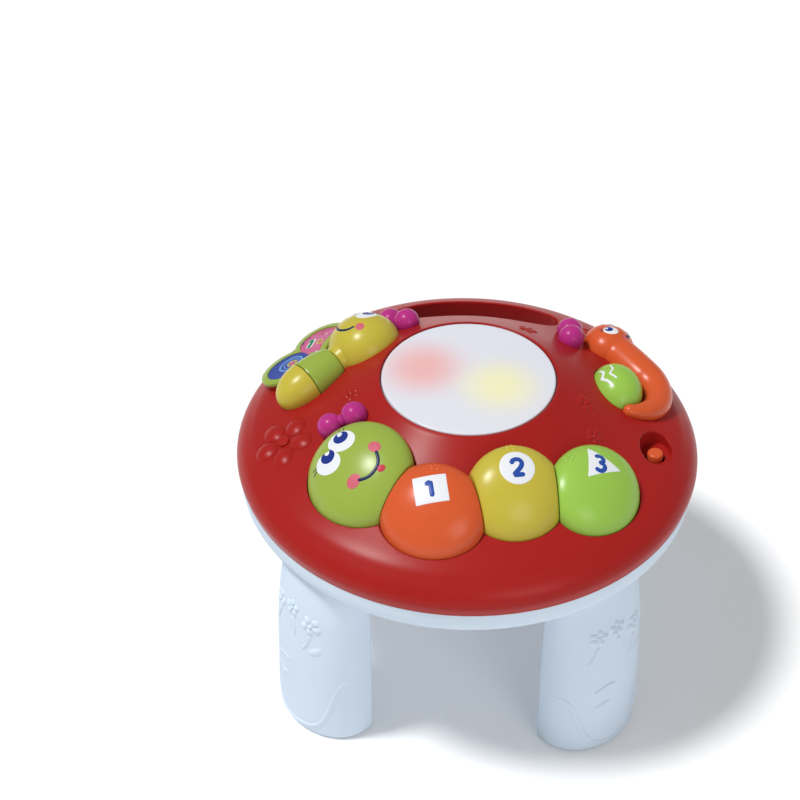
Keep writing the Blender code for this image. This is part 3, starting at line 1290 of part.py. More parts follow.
def build_disc():
    rim = DISC_RADIUS
    lip = rim + DISC_FLANGE_WIDTH
    rim_level = dome_level(rim + DISC_CLEARANCE) - JOINT_GAP
    flange_top = dome_inner_level(lip + DISC_CLEARANCE) - JOINT_GAP * 2
    flange_foot = flange_top - DISC_FLANGE_THICKNESS
    wall = DISC_WALL
    profile = [(0, rim_level + DISC_CROWN_HEIGHT)]
    for share in (0.35, 0.68, 0.90, 0.98):
        profile.append((rim * share, rim_level + DISC_CROWN_HEIGHT * (1 - share ** 2)))
    edge_drop = DISC_CROWN_HEIGHT / 4
    profile += [(rim, rim_level - edge_drop), (rim, flange_top), (lip, flange_top), (lip, flange_foot)]
    profile.append((rim - wall, flange_foot))
    profile.append((rim - wall, rim_level - wall))
    for share in (0.60, 0.30):
        profile.append((rim * share, rim_level + DISC_CROWN_HEIGHT * (1 - share ** 2) - wall))
    profile.append((0, rim_level + DISC_CROWN_HEIGHT - wall))
    profile = [(radius, at_seam(height)) for radius, height in profile]
    turned("drum_disc", profile, 40, colour=DISC_WHITE, roughness=0.2)

    pad_height = DISC_TRAVEL_LENGTH + JOINT_GAP * 3
    bowl_top = flange_foot - pad_height
    board_top = BOARD_HEIGHT + BOARD_THICKNESS
    inner = rim - wall
    thick = BOWL_WALL
    foot = board_top + JOINT_GAP
    mouth = BOWL_MOUTH_RADIUS
    bowl = [
        (inner, bowl_top), (inner + BOWL_RIM_WIDTH, bowl_top), (inner + BOWL_RIM_WIDTH, bowl_top - thick),
        (inner + thick, bowl_top - thick), (mouth + thick, foot + thick * 2), (mouth + thick, foot),
        (mouth, foot), (mouth, foot + thick * 2),
    ]
    turned("lamp_bowl", [(radius, at_seam(height)) for radius, height in bowl], 32, closed_loop=True,
           colour=DISC_WHITE, roughness=0.4)
    for index in range(3):
        angle = math.radians(90 + 120 * index)
        reach = inner + BOWL_RIM_WIDTH / 2
        spot = Matrix.Translation((reach * math.cos(angle), reach * math.sin(angle), 0))
        low = at_seam(bowl_top + JOINT_GAP)
        high = at_seam(flange_foot - JOINT_GAP)
        rod("disc_pad_" + str(index + 1), BOWL_RIM_WIDTH * 0.4, low, high, ROD_SEGMENTS, spot,
            colour=RUBBER_GREY, roughness=0.7)


def main():
    clear_scene()
    seat = dome_solid("seat", JOINT_GAP, 0, HOUSING_SEGMENTS)
    key_openings = build_keys()
    butterfly = build_butterfly(seat)
    snail = build_snail(seat)
    switch = build_switch()
    build_disc()

    head_x, head_y = polar(BUG_HEAD_REACH, BUG_HEAD_BEARING)
    clear_radius = BUG_HEAD_RADIUS + JOINT_GAP
    head_clear = ellipsoid("head_clearance", clear_radius, clear_radius, BUG_HEAD_HEIGHT + JOINT_GAP,
                           FIGURE_SEGMENTS, 12, surface_frame(head_x, head_y))
    bows = [
        build_bow("worm_bow", list(zip(WORM_BOW_REACH_SHARES, WORM_BOW_BEARINGS)), seat),
        build_bow("butterfly_bow", list(zip(BUG_BOW_REACH_SHARES, BUG_BOW_BEARINGS)), seat, head_clear),
        build_bow("snail_bow", list(zip(SNAIL_BOW_REACH_SHARES, SNAIL_BOW_BEARINGS)), seat),
    ]
    peg_spots = []
    for item, spot in bows:
        add_peg(item, spot)
        peg_spots.append(spot)
    add_peg(butterfly["head"], butterfly["pegs"]["butterfly_head"])
    add_peg(butterfly["tail"], butterfly["pegs"]["butterfly_tail"])
    peg_spots += list(butterfly["pegs"].values())
    for spot in snail["pegs"]:
        add_peg(snail["body"], spot)
        peg_spots.append(spot)

    hole = build_housing(butterfly, snail, switch, key_openings, peg_spots)
    pockets, pocket_blocks = build_legs()
    inside = build_tray(hole, pockets, pocket_blocks)
    build_inside(inside)


main()
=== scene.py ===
"""Looks of the musical activity table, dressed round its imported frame."""

import math

import bmesh
import bpy
import numpy as np
from mathutils import Matrix, Vector
from mathutils.bvhtree import BVHTree


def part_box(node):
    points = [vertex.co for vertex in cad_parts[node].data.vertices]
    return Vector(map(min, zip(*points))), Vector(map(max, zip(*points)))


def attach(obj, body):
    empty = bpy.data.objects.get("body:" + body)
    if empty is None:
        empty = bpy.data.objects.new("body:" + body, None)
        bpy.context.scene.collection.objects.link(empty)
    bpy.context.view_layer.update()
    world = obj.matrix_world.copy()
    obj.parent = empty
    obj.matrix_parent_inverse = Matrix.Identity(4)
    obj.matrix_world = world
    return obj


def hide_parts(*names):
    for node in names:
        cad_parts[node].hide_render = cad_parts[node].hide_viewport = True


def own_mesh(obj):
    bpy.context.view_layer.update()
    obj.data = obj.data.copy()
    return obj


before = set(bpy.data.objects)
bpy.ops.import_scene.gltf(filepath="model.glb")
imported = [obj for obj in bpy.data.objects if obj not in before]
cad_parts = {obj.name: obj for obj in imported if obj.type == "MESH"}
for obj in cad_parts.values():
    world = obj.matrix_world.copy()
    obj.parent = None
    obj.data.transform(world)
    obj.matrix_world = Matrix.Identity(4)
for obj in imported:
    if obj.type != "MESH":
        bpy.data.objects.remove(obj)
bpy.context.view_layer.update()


# Bottom tray: a white injection-moulded pan that closes the domed housing from below.
# It carries the leg pockets, screw towers, board posts, speaker grille and battery bay,
# and its floor curves up into a rounded rim under the red shell.
seam_height = 0.1547


def at_seam(height):
    """World height of a level given from the seam between the red shell and the tray."""
    return seam_height + height


def from_seam(profile):
    """Radius and height pairs whose heights are given from the seam."""
    return [(radius, at_seam(height)) for radius, height in profile]


def round_angles(count, phase=0.0):
    return [2 * math.pi * (step + phase) / count for step in range(count)]


def axes(origin, first, second, third):
    return Matrix.Translation(origin) @ Matrix((first, second, third)).transposed().to_4x4()


def placed(name, data):
    thing = bpy.data.objects.new(name, data)
    bpy.context.scene.collection.objects.link(thing)
    return thing


def as_piece(name, work, plastic, sharp):
    """A smooth-shaded piece of one plastic from a work mesh."""
    mesh = bpy.data.meshes.new(name)
    work.to_mesh(mesh)
    work.free()
    piece = placed(name, mesh)
    if plastic:
        mesh.materials.append(plastic)
    mesh.shade_smooth()
    mesh.set_sharp_from_angle(angle=math.radians(sharp))
    return piece


def skin_over(name, loops, plastic=None, closed=False, sharp=35.0):
    """A closed skin through loops of points; a loop of one point is a pole."""
    work = bmesh.new()
    rings = [[work.verts.new(Vector(point)) for point in loop] for loop in loops]
    pairs = list(zip(rings, rings[1:]))
    if closed:
        pairs.append((rings[-1], rings[0]))
    for lower, upper in pairs:
        count = max(len(lower), len(upper))
        for step in range(count):
            after = (step + 1) % count
            if len(lower) == 1:
                work.faces.new((lower[0], upper[after], upper[step]))
            elif len(upper) == 1:
                work.faces.new((lower[step], lower[after], upper[0]))
            else:
                work.faces.new((lower[step], lower[after], upper[after], upper[step]))
    if not closed:
        for ring in (rings[0], rings[-1]):
            if len(ring) > 1:
                work.faces.new(ring)
    bmesh.ops.remove_doubles(work, verts=work.verts[:], dist=1e-7)
    bmesh.ops.recalc_face_normals(work, faces=work.faces[:])
    return as_piece(name, work, plastic, sharp)


def lathe(name, profile, segments, plastic=None, place=None, phase=0.0):
    """A solid turned about Z from radius and height pairs, then moved by a matrix."""
    place = place or Matrix()
    loops = []
    for radius, height in profile:
        angles = [0.0] if radius == 0 else round_angles(segments, phase)
        loops.append([place @ Vector((radius * math.cos(a), radius * math.sin(a), height)) for a in angles])
    return skin_over(name, loops, plastic)


def rod(name, radius, low, high, place):
    profile = from_seam([(0, low), (radius, low), (radius, high), (0, high)])
    return lathe(name, profile, 24, None, place)


def slab(name, outline, low, high, place=None):
    place = place or Matrix()
    return skin_over(name, [[place @ Vector((x, y, level)) for x, y in outline] for level in (low, high)])


def block(name, left, right, front, back, low, high):
    return slab(name, [(left, front), (right, front), (right, back), (left, back)], low, high)


def cluster(name, solids, plastic=None):
    """Several separate solids as one mesh."""
    work = bmesh.new()
    for solid in solids:
        work.from_mesh(solid.data)
        bpy.data.objects.remove(solid)
    return as_piece(name, work, plastic, 60.0)


def baked(piece):
    """Turns what a piece's modifiers make into its own mesh."""
    result = bpy.data.meshes.new_from_object(piece.evaluated_get(bpy.context.evaluated_depsgraph_get()))
    piece.modifiers.clear()
    piece.data = result
    return piece


def carve(piece, operation, *tools):
    """Cuts, joins or intersects a piece with other solids, and removes them."""
    for tool in tools:
        step = piece.modifiers.new("step", "BOOLEAN")
        step.operation = operation
        step.solver = "EXACT"
        step.object = tool
        baked(piece)
        bpy.data.objects.remove(tool)
    piece.data.shade_smooth()
    piece.data.set_sharp_from_angle(angle=math.radians(35.0))
    return piece


def finished(piece, body, slot=None, *nodes):
    """Hides the nodes a piece takes over and hangs it on the body it moves with. The slot is not used."""
    if nodes:
        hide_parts(*nodes)
    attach(piece, body)
    return piece


def set_values(node, **values):
    """Sets a node's inputs, with an underscore for each space in their names."""
    for name, value in values.items():
        node.inputs[name.replace("_", " ")].default_value = value


def join(tree, giver, output, taker, entry):
    tree.links.new(giver.outputs[output], taker.inputs[entry])


def material_of(name, **values):
    material = bpy.data.materials.new(name)
    material.use_nodes = True
    set_values(material.node_tree.nodes["Principled BSDF"], **values)
    return material


def moulded_plastic(name, colour, roughness=0.28, gloss=0.30):
    """Glossy moulded plastic: a faintly uneven tone and a fine moulding grain."""
    material = material_of(name, Roughness=roughness, Specular_IOR_Level=gloss)
    tree = material.node_tree
    shader = tree.nodes["Principled BSDF"]
    where, cloud, tone, grain, bump = [
        tree.nodes.new("ShaderNode" + kind) for kind in ("TexCoord", "TexNoise", "Mix", "TexNoise", "Bump")]
    unevenness = 0.03
    tone.data_type = "RGBA"
    set_values(tone, A=(*[channel * (1 - unevenness) for channel in colour], 1),
               B=(*[min(1.0, channel * (1 + unevenness)) for channel in colour], 1))
    set_values(cloud, Scale=18.0, Detail=3.0)
    set_values(grain, Scale=900.0)
    set_values(bump, Strength=0.03, Distance=0.0004)
    join(tree, where, "Object", cloud, "Vector")
    join(tree, cloud, "Fac", tone, "Factor")
    join(tree, tone, "Result", shader, "Base Color")
    join(tree, where, "Object", grain, "Vector")
    join(tree, grain, "Fac", bump, "Height")
    join(tree, bump, "Normal", shader, "Normal")
    return material


def polar(reach, bearing):
    """Plan position at a reach from the centre and a bearing in degrees from -Y towards +X."""
    angle = math.radians(bearing)
    return Vector((reach * math.sin(angle), -reach * math.cos(angle), 0))


def handle_outline(margin):
    """Bean-shaped hand hole, grown by a margin: a round rim side and a flatter inner side."""
    half_width, middle = 0.057, 0.103
    points = []
    for angle in round_angles(72, 0.5):
        side = math.cos(angle)
        along = math.sin(angle)
        power, reach = (2 / 2.2, 0.024) if along >= 0 else (2 / 3.0, 0.019)
        points.append(((half_width + margin) * math.copysign(abs(side) ** power, side),
                       middle + (reach + margin) * math.copysign(abs(along) ** power, along)))
    return points


def leg_section(width, bulge, inset, count=24):
    """D-shaped section: a round outer side and a flat back with rounded corners."""
    half = 0.0368 * width - inset
    outer, back, corner = 0.0295 * bulge - inset, 0.009 - inset, 0.004
    points = []
    for step in range(count + 1):
        angle = math.pi * step / count
        points.append((half * math.cos(angle), outer * math.sin(angle)))
    for side, turns in ((-1, range(7)), (1, range(6, -1, -1))):
        for turn in turns:
            angle = math.pi / 2 * turn / 6
            points.append((side * (half - corner + corner * math.cos(angle)),
                           -back + corner - corner * math.sin(angle)))
    return points


def leg_place(bearing):
    spot = polar(0.1215, bearing)
    outward = spot.normalized()
    return axes(spot, Vector((outward.y, -outward.x, 0)), outward, Vector((0, 0, 1)))


def screw_hole(ledge, top, spot, phase=0.0):
    """A cutter for a screw: wide for its head up to a ledge, then narrow for its thread."""
    profile = [(0, -0.03), (0.0033, -0.03), (0.0033, ledge), (0.0017, ledge), (0.0017, top), (0, top)]
    return lathe("screw_hole", from_seam(profile), 24, None, Matrix.Translation(spot), phase)


leg_bearings = {"front_right": 45.0, "rear_right": 135.0, "rear_left": -135.0, "front_left": -45.0}
screw_bearings = (5.0, -80.0, 95.0, -157.0, 157.0)
screw_spots = [polar(0.1365, bearing) for bearing in screw_bearings]
plug = (0.89, 0.69)
satin_white = moulded_plastic("satin_white_plastic", (0.67, 0.77, 0.885), 0.40, 0.0)

tray_profile = [
    (0, -0.0175), (0.1395, -0.0175), (0.1422, -0.0173), (0.1448, -0.0166), (0.1465, -0.0155), (0.1478, -0.0138),
    (0.1488, -0.0115), (0.1494, -0.0085), (0.1497, -0.005), (0.1497, -0.0006), (0.1494, -0.0003),
    (0.1469, -0.0003), (0.1469, 0.0035), (0.1452, 0.0035), (0.1452, -0.009), (0.1435, -0.0136),
    (0.1389, -0.0153), (0, -0.0153),
]
tray = lathe("bottom_tray_look", from_seam(tray_profile), 144, satin_white)
posts = []
screw_holes = []
for spot in screw_spots:
    posts.append(rod("tower", 0.0046, -0.016, -0.0006, Matrix.Translation(spot)))
    screw_holes.append(screw_hole(-0.0154, 0.012, spot, 0.4))
for x, y in ((0.052, -0.062), (-0.052, -0.062), (0.084, 0.002), (-0.084, 0.002), (0, -0.05)):
    posts.append(rod("board_post", 0.0035, -0.016, 0.0117, Matrix.Translation((x, y, 0))))
pocket_walls = []
pockets = []
for bearing in leg_bearings.values():
    place = leg_place(bearing)
    wall, room = leg_section(*plug, 0.0007), leg_section(*plug, 0.0029)
    pocket_walls.append(slab("pocket_wall", wall, at_seam(-0.0164), at_seam(-0.0007), place))
    pockets.append(slab("pocket", room, at_seam(-0.03), at_seam(-0.0029), place))
carve(tray, "UNION", slab("handle_wall", handle_outline(0.0025), at_seam(-0.0164), at_seam(-0.0003)))
carve(tray, "UNION", cluster("posts", posts), cluster("pocket_walls", pocket_walls))
carve(tray, "UNION", block("bay_wall", -0.0287, 0.0287, -0.0343, 0.0423, at_seam(-0.0164), at_seam(0.0026)))
carve(tray, "DIFFERENCE", cluster("screw_holes", screw_holes), cluster("pockets", pockets))
carve(tray, "DIFFERENCE", slab("handle_hole", handle_outline(0), at_seam(-0.05), at_seam(0.05)))
carve(tray, "DIFFERENCE", block("bay", -0.024, 0.024, -0.0296, 0.0296, at_seam(-0.03), at_seam(0.0004)))
carve(tray, "DIFFERENCE", block("recess", -0.0263, 0.0263, -0.0319, 0.0399, at_seam(-0.03), at_seam(-0.0150)))
grille = []
slot_pitch, slot_half = 0.0062, 0.0015
for step in (-2, -1, 0, 1, 2):
    half = math.sqrt(0.016 ** 2 - (step * slot_pitch) ** 2)
    ends = [(half - slot_half + slot_half * math.cos(a), slot_half * math.sin(a))
            for a in np.linspace(-1.57, 1.57, 9)]
    outline = [(x, y - 0.085 + step * slot_pitch) for x, y in ends + [(-x, -y) for x, y in ends]]
    grille.append(slab("slot", outline, at_seam(-0.03), at_seam(-0.012)))
carve(tray, "DIFFERENCE", cluster("grille", grille))
finished(tray, "housing", "white_plastic", "bottom_tray")


# Battery door: a flush white lid with rounded corners and a thumb ridge, held by one screw.
# It sits in the tray's recess over three cells, so only its outside shows.
def rounded_box(left, right, front, back, radius, count=8):
    points = []
    for x, y, start in ((right, back, 0), (left, back, 90), (left, front, 180), (right, front, 270)):
        centre_x = x - math.copysign(radius, x - (left + right) / 2)
        centre_y = y - math.copysign(radius, y - (front + back) / 2)
        for step in range(count + 1):
            angle = math.radians(start + 90 * step / count)
            points.append((centre_x + radius * math.cos(angle), centre_y + radius * math.sin(angle)))
    return points


door_loops = []
for level, margin in ((-0.0153, 0), (-0.0171, 0), (-0.0174, -0.0001), (-0.0175, -0.0004)):
    outline = rounded_box(-0.026 - margin, 0.026 + margin, -0.0316 - margin, 0.0396 + margin, 0.0012)
    door_loops.append([Vector((x, y, at_seam(level))) for x, y in outline])
door = skin_over("battery_door_look", door_loops, satin_white)
door_screw_spot = Vector((0, 0.0356, 0))
carve(door, "DIFFERENCE", screw_hole(-0.0157, -0.01, door_screw_spot))
grips = [block("grip", -0.006, 0.006, y - 0.0004, y + 0.0004, at_seam(-0.03), at_seam(-0.0172))
         for y in (-0.028, -0.0265, -0.025, -0.0235)]
carve(door, "DIFFERENCE", cluster("grips", grips))
finished(door, "housing", "white_plastic", "battery_door")


# Screws: zinc-plated self-tapping steel with a pan head and a cross recess, one in each tower.
# One screw is set on every tower by a point cloud.
def set_on_points(name, pattern, spots, material, body, slot, *nodes):
    """Copies a pattern mesh to each spot with Geometry Nodes, baked to one plain mesh."""
    tree = bpy.data.node_groups.new(name + "_layout", "GeometryNodeTree")
    for entry, kind in (("Spots", "Geometry"), ("Pattern", "Object"), ("Finish", "Material")):
        tree.interface.new_socket(entry, in_out="INPUT", socket_type="NodeSocket" + kind)
    tree.interface.new_socket("Geometry", in_out="OUTPUT", socket_type="NodeSocketGeometry")
    inputs = tree.nodes.new("NodeGroupInput")
    source = tree.nodes.new("GeometryNodeObjectInfo")
    copies = tree.nodes.new("GeometryNodeInstanceOnPoints")
    solid = tree.nodes.new("GeometryNodeRealizeInstances")
    finish = tree.nodes.new("GeometryNodeSetMaterial")
    output = tree.nodes.new("NodeGroupOutput")
    join(tree, inputs, "Pattern", source, "Object")
    join(tree, inputs, "Spots", copies, "Points")
    join(tree, source, "Geometry", copies, "Instance")
    join(tree, copies, "Instances", solid, "Geometry")
    join(tree, solid, "Geometry", finish, "Geometry")
    join(tree, inputs, "Finish", finish, "Material")
    join(tree, finish, "Geometry", output, "Geometry")
    cloud = bpy.data.meshes.new(name)
    cloud.from_pydata([tuple(spot) for spot in spots], [], [])
    piece = placed(name, cloud)
    layout = piece.modifiers.new("layout", "NODES")
    layout.node_group = tree
    sockets = {item.name: item.identifier for item in tree.interface.items_tree if item.in_out == "INPUT"}
    layout[sockets["Pattern"]] = pattern
    layout[sockets["Finish"]] = material
    baked(piece)
    bpy.data.objects.remove(pattern)
    return finished(piece, body, slot, *nodes)


def screw_pattern(name, length):
    """A pan-head screw from its head's underside at 0 up to its tip, with a cross recess below."""
    shape = [(0, 0), (0.0023, 0), (0.0028, 0.0003), (0.0030, 0.0009), (0.0030, 0.0018), (0.0014, 0.0018),
             (0.0014, length - 0.0014), (0.0004, length), (0, length)]
    screw = lathe(name, shape, 28)
    arms = [block("arm", -0.0017, 0.0017, -0.0003, 0.0003, -0.001, 0.0011),
            block("arm", -0.0003, 0.0003, -0.0017, 0.0017, -0.001, 0.0011)]
    return carve(screw, "DIFFERENCE", *arms)


head_rest = Vector((0, 0, at_seam(-0.0175)))
plated_steel = material_of("plated_steel", Base_Color=(0.55, 0.55, 0.57, 1), Metallic=1.0, Roughness=0.30)
set_on_points("housing_screws", screw_pattern("screw", 0.0278), [spot + head_rest for spot in screw_spots],
              plated_steel, "housing", "steel", "housing_screw_front", "housing_screw_left",
              "housing_screw_right", "housing_screw_rear_left", "housing_screw_rear_right")
set_on_points("door_screw", screw_pattern("screw", 0.0100), [door_screw_spot + head_rest],
              plated_steel, "housing", "steel", "battery_door_screw")


# Inner parts: three cells between plated contacts, the paper-cone speaker, the green board with
# its slide switch and rubber domes, and the three lamps in their bowl. They keep their CAD shapes.
def one_colour(name, colour, roughness):
    return material_of(name, Base_Color=(*colour, 1), Roughness=roughness, Specular_IOR_Level=0.25)


def dress(material, *nodes):
    for node in nodes:
        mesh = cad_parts[node].data
        mesh.materials.clear()
        mesh.materials.append(material)


dress(one_colour("cell_sleeve", (0.03, 0.03, 0.03), 0.40), "battery_1", "battery_2", "battery_3")
dress(one_colour("speaker_cone", (0.04, 0.04, 0.04), 0.75), "speaker")
dress(plated_steel, "battery_contact_front", "battery_contact_rear", "slide_switch", "wing_axle", "egg_axle")
dress(one_colour("board_resist", (0.02, 0.16, 0.06), 0.45), "circuit_board")
grey_rubber = one_colour("grey_rubber", (0.35, 0.35, 0.36), 0.75)
dress(grey_rubber, "key_dome_1", "key_dome_2", "key_dome_3", "key_dome_4")
for pad_name in ("disc_pad_1", "disc_pad_2", "disc_pad_3"):
    low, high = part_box(pad_name)
    radius, height = (high.x - low.x) / 2, high.z - low.z
    foot = Matrix.Translation(((low.x + high.x) / 2, (low.y + high.y) / 2, low.z))
    pad_line = [(0, 0), (radius, 0), (radius, height * 0.45), (radius * 0.92, height * 0.8),
                (radius * 0.75, height), (0, height)]
    rubber = lathe(pad_name + "_look", pad_line, 32, grey_rubber, foot)
    finished(rubber, "housing", "grey_rubber", pad_name)
    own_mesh(rubber)
dress(one_colour("milky_bowl", (0.75, 0.76, 0.83), 0.40), "lamp_bowl")
dress(one_colour("red_lamp", (0.80, 0.05, 0.04), 0.20), "lamp_red")
dress(one_colour("yellow_lamp", (0.90, 0.75, 0.10), 0.20), "lamp_yellow")
dress(one_colour("green_lamp", (0.10, 0.70, 0.20), 0.20), "lamp_green")


# Top shell: the domed red cover, one glossy moulding with a hand hole, key openings, the disc's
# opening, pockets for the wing's barrel and the egg, and the switch's dish.
# The full dome is hollowed round the walls that it keeps, then opened with rounded lips.
def flowing(points, count):
    """Samples of a smooth line through points."""
    path = np.array(points, float)
    path = np.vstack([2 * path[0] - path[1], path, 2 * path[-1] - path[-2]])
    samples = []
    for index in range(1, len(path) - 2):
        before, start, end, after = path[index - 1:index + 3]
        for step in range(count):
            t = step / count
            samples.append(tuple(0.5 * (2 * start + (end - before) * t
                                        + (2 * before - 5 * start + 4 * end - after) * t ** 2
                                        + (3 * start - before - 3 * end + after) * t ** 3)))
    samples.append(tuple(path[-2]))
    return samples


dome_line = flowing([
    (0.0572, 0.0665), (0.070, 0.0595), (0.084, 0.0515), (0.100, 0.043), (0.120, 0.0335),
    (0.136, 0.026), (0.143, 0.021), (0.1489, 0.015), (0.15165, 0.008), (0.150, 0.0),
], 8)
dome_rise = np.array(dome_line[:60])


def dome_level(radius):
    """Height of the dome's outer surface above the seam."""
    return float(np.interp(radius, dome_rise[:, 0], dome_rise[:, 1]))


def dome_slope(radius):
    return (dome_level(radius + 0.006) - dome_level(radius - 0.006)) / 0.012


def on_dome(spot, lift=0.0):
    """A frame on the dome: X along the rim, Y downhill and Z out of the surface."""
    radius = math.hypot(spot[0], spot[1])
    outward = Vector((spot[0] / radius, spot[1] / radius, 0))
    downhill = Vector((outward.x, outward.y, dome_slope(radius))).normalized()
    tangent = Vector((outward.y, -outward.x, 0))
    normal = tangent.cross(downhill)
    foot = Vector((spot[0], spot[1], at_seam(dome_level(radius))))
    return axes(foot + normal * lift, tangent, downhill, normal)


def lipped_cutter(name, outline, low, lip):
    """A cutter that opens out in a quarter round of a radius where it meets the dome."""
    def over_dome(margin, rise):
        return [Vector((x, y, at_seam(dome_level(math.hypot(x, y)) + rise))) for x, y in outline(margin)]

    loops = [[Vector((x, y, low)) for x, y in outline(0.0)]]
    for degrees in (0, 18, 36, 54, 72, 90):
        angle = math.radians(degrees)
        loops.append(over_dome(lip * (1 - math.cos(angle)), lip * (math.sin(angle) - 1)))
    edge = lip * 1.15
    loops.append(over_dome(edge, lip * 0.3))
    loops.append([Vector((x, y, at_seam(0.09))) for x, y in outline(edge)])
    return skin_over(name, loops)


keys = (
    ("worm_head_key", 0.0985, -40.0, 0.0365, 0.0305, 0.0205),
    ("note_key_1", 0.1048, -9.0, 0.0336, 0.0267, 0.0211),
    ("note_key_2", 0.0952, 20.8, 0.0316, 0.0262, 0.0210),
    ("note_key_3", 0.1104, 48.6, 0.0325, 0.0259, 0.0186),
)


def key_outline(key, margin, count=96):
    _, reach, bearing, half_length, half_width, _ = key
    points = []
    for angle in round_angles(count, 0.5):
        point = polar(reach, bearing) + polar((half_length + margin) * math.cos(angle), bearing + 90)
        point += polar((half_width + margin) * math.sin(angle), bearing)
        points.append((point.x, point.y))
    return points


def bug_axes():
    """The butterfly's hinge: origin under the head, axis to the tail, outward and up."""
    head = polar(0.0845, -122.6)
    tail = head + polar(0.049, -47.7)
    head.z = at_seam(dome_level(head.to_2d().length) + 0.0036)
    tail.z = at_seam(dome_level(tail.to_2d().length) + 0.0036)
    axis = (tail - head).normalized()
    normal = on_dome((head + tail) / 2).to_3x3().col[2]
    normal = (normal - axis * normal.dot(axis)).normalized()
    outward = axis.cross(normal)
    if outward.to_2d().dot((head + tail).to_2d()) < 0:
        outward = -outward
    return head, axis, outward, normal


def barrel_radius(along):
    return barrel_thick * math.sqrt(max(0.0, 1 - ((along - barrel_middle) / 0.0386) ** 2))


bug_head, bug_axis, bug_outward, bug_normal = bug_axes()
bug_lathe = axes(bug_head, bug_normal, bug_outward, bug_axis)
bug_plan = axes(bug_head, bug_axis, bug_outward, bug_normal)
barrel_start, barrel_middle, barrel_end, barrel_thick = 0.02596, 0.049, 0.0484, 0.0155


def barrel_profile(margin, spread):
    profile = [(0, barrel_start - spread)]
    for step in range(13):
        share = step / 12
        along = barrel_start + (barrel_end - barrel_start) * share
        profile.append((barrel_radius(along) + margin, along + spread * (2 * share - 1)))
    return profile + [(0, barrel_end + spread)]


egg_plan_spot = polar(0.100, 103.6)
egg_spot = on_dome(egg_plan_spot, -0.0026)
egg_axis = egg_spot.to_3x3().col[0]
if egg_axis.y < 0:
    egg_axis = -egg_axis
egg_up = egg_spot.to_3x3().col[2]
egg_lathe = axes(egg_spot.translation, egg_up, egg_axis.cross(egg_up), egg_axis)


def egg_line(radius, half_height, rows):
    """Half an ellipse as radius and height pairs, from pole to pole."""
    angles = [math.pi * row / rows for row in range(1, rows)]
    side = [(radius * math.sin(a), half_height * math.cos(a)) for a in angles]
    return [(0, half_height), *side, (0, -half_height)]


def egg_profile(margin, rows=28):
    return egg_line(0.0172 + margin, 0.0205 + margin, rows)


switch_spot, switch_out, switch_side = polar(0.124, 80.6), polar(1, 80.6), polar(1, 170.6)


def dish_outline(margin):
    points = []
    for angle in round_angles(56, 0.5):
        point = switch_spot + switch_out * ((0.0105 + margin) * math.cos(angle))
        point += switch_side * ((0.015 + margin) * math.sin(angle))
        points.append((point.x, point.y))
    return points


glossy_red = moulded_plastic("glossy_red_plastic", (0.37, 0.014, 0.012), 0.32, 0.16)
lip_line = [(0, 0.0640), (0.0568, 0.0640), (0.0570, 0.0652), (0.0573, 0.0658), (0.0578, 0.0661), (0.0584, 0.0660)]
outer_line = from_seam(lip_line + dome_line[2:] + [(0, 0.0)])
shell = lathe("top_shell_look", outer_line, 192, glossy_red)
hollow_line = [
    (0, 0.075), (0.0572, 0.075), (0.0572, 0.0635), (0.0588, 0.0628), (0.069, 0.0572), (0.083, 0.0492),
    (0.099, 0.0407), (0.119, 0.0312), (0.1348, 0.0238), (0.1414, 0.019), (0.1466, 0.013), (0.1491, 0.007),
    (0.1475, -0.0001), (0.1475, -0.02), (0, -0.02),
]
hollow = lathe("hollow", from_seam(hollow_line), 192, phase=0.5)
screw_posts = [rod("post", 0.0043, -0.03, 0.08, Matrix.Translation(spot)) for spot in screw_spots]
carve(hollow, "DIFFERENCE", slab("handle_wall", handle_outline(0.0025), at_seam(-0.03), at_seam(0.06)))
carve(hollow, "DIFFERENCE", cluster("screw_posts", screw_posts))
carve(hollow, "DIFFERENCE", lathe("barrel_wall", barrel_profile(0.0031, 0.0031), 48, None, bug_lathe))
carve(hollow, "DIFFERENCE", lathe("egg_wall", egg_profile(0.0031), 48, None, egg_lathe))
carve(hollow, "DIFFERENCE", slab("dish_wall", dish_outline(0.0025), at_seam(0.0205), at_seam(0.06)))
rest_angles = np.linspace(0, 6.283, 49)[:-1]
rest_outline = [(0.0465 + 0.0180 * math.cos(a), 0.0302 + 0.0158 * math.sin(a)) for a in rest_angles]
carve(shell, "UNION", slab("wing_rest", rest_outline, -0.009, 0.0015, bug_plan))
carve(shell, "DIFFERENCE", hollow)
carve(shell, "DIFFERENCE", lipped_cutter("handle_hole", handle_outline, at_seam(-0.03), 0.0014))
carve(shell, "DIFFERENCE", lipped_cutter("dish", dish_outline, at_seam(0.0225), 0.0008))
for key in keys:
    opening = lipped_cutter("opening", lambda margin: key_outline(key, 0.0006 + margin), at_seam(0.0003), 0.0005)
    carve(shell, "DIFFERENCE", opening)
barrel_room = lathe("barrel_room", barrel_profile(0.0006, 0.0006), 48, None, bug_lathe, 0.3)
egg_room = lathe("egg_room", egg_profile(0.0006), 48, None, egg_lathe, 0.3)
carve(shell, "DIFFERENCE", barrel_room, egg_room)
switch_place = axes(switch_spot, switch_out, switch_side, Vector((0, 0, 1)))
slot_corners = [(-0.0063, -0.0023), (0.0063, -0.0023), (0.0063, 0.0023), (-0.0063, 0.0023)]
carve(shell, "DIFFERENCE", slab("slot", slot_corners, at_seam(0.018), at_seam(0.026), switch_place))
finished(shell, "housing", "red_plastic", "top_shell")


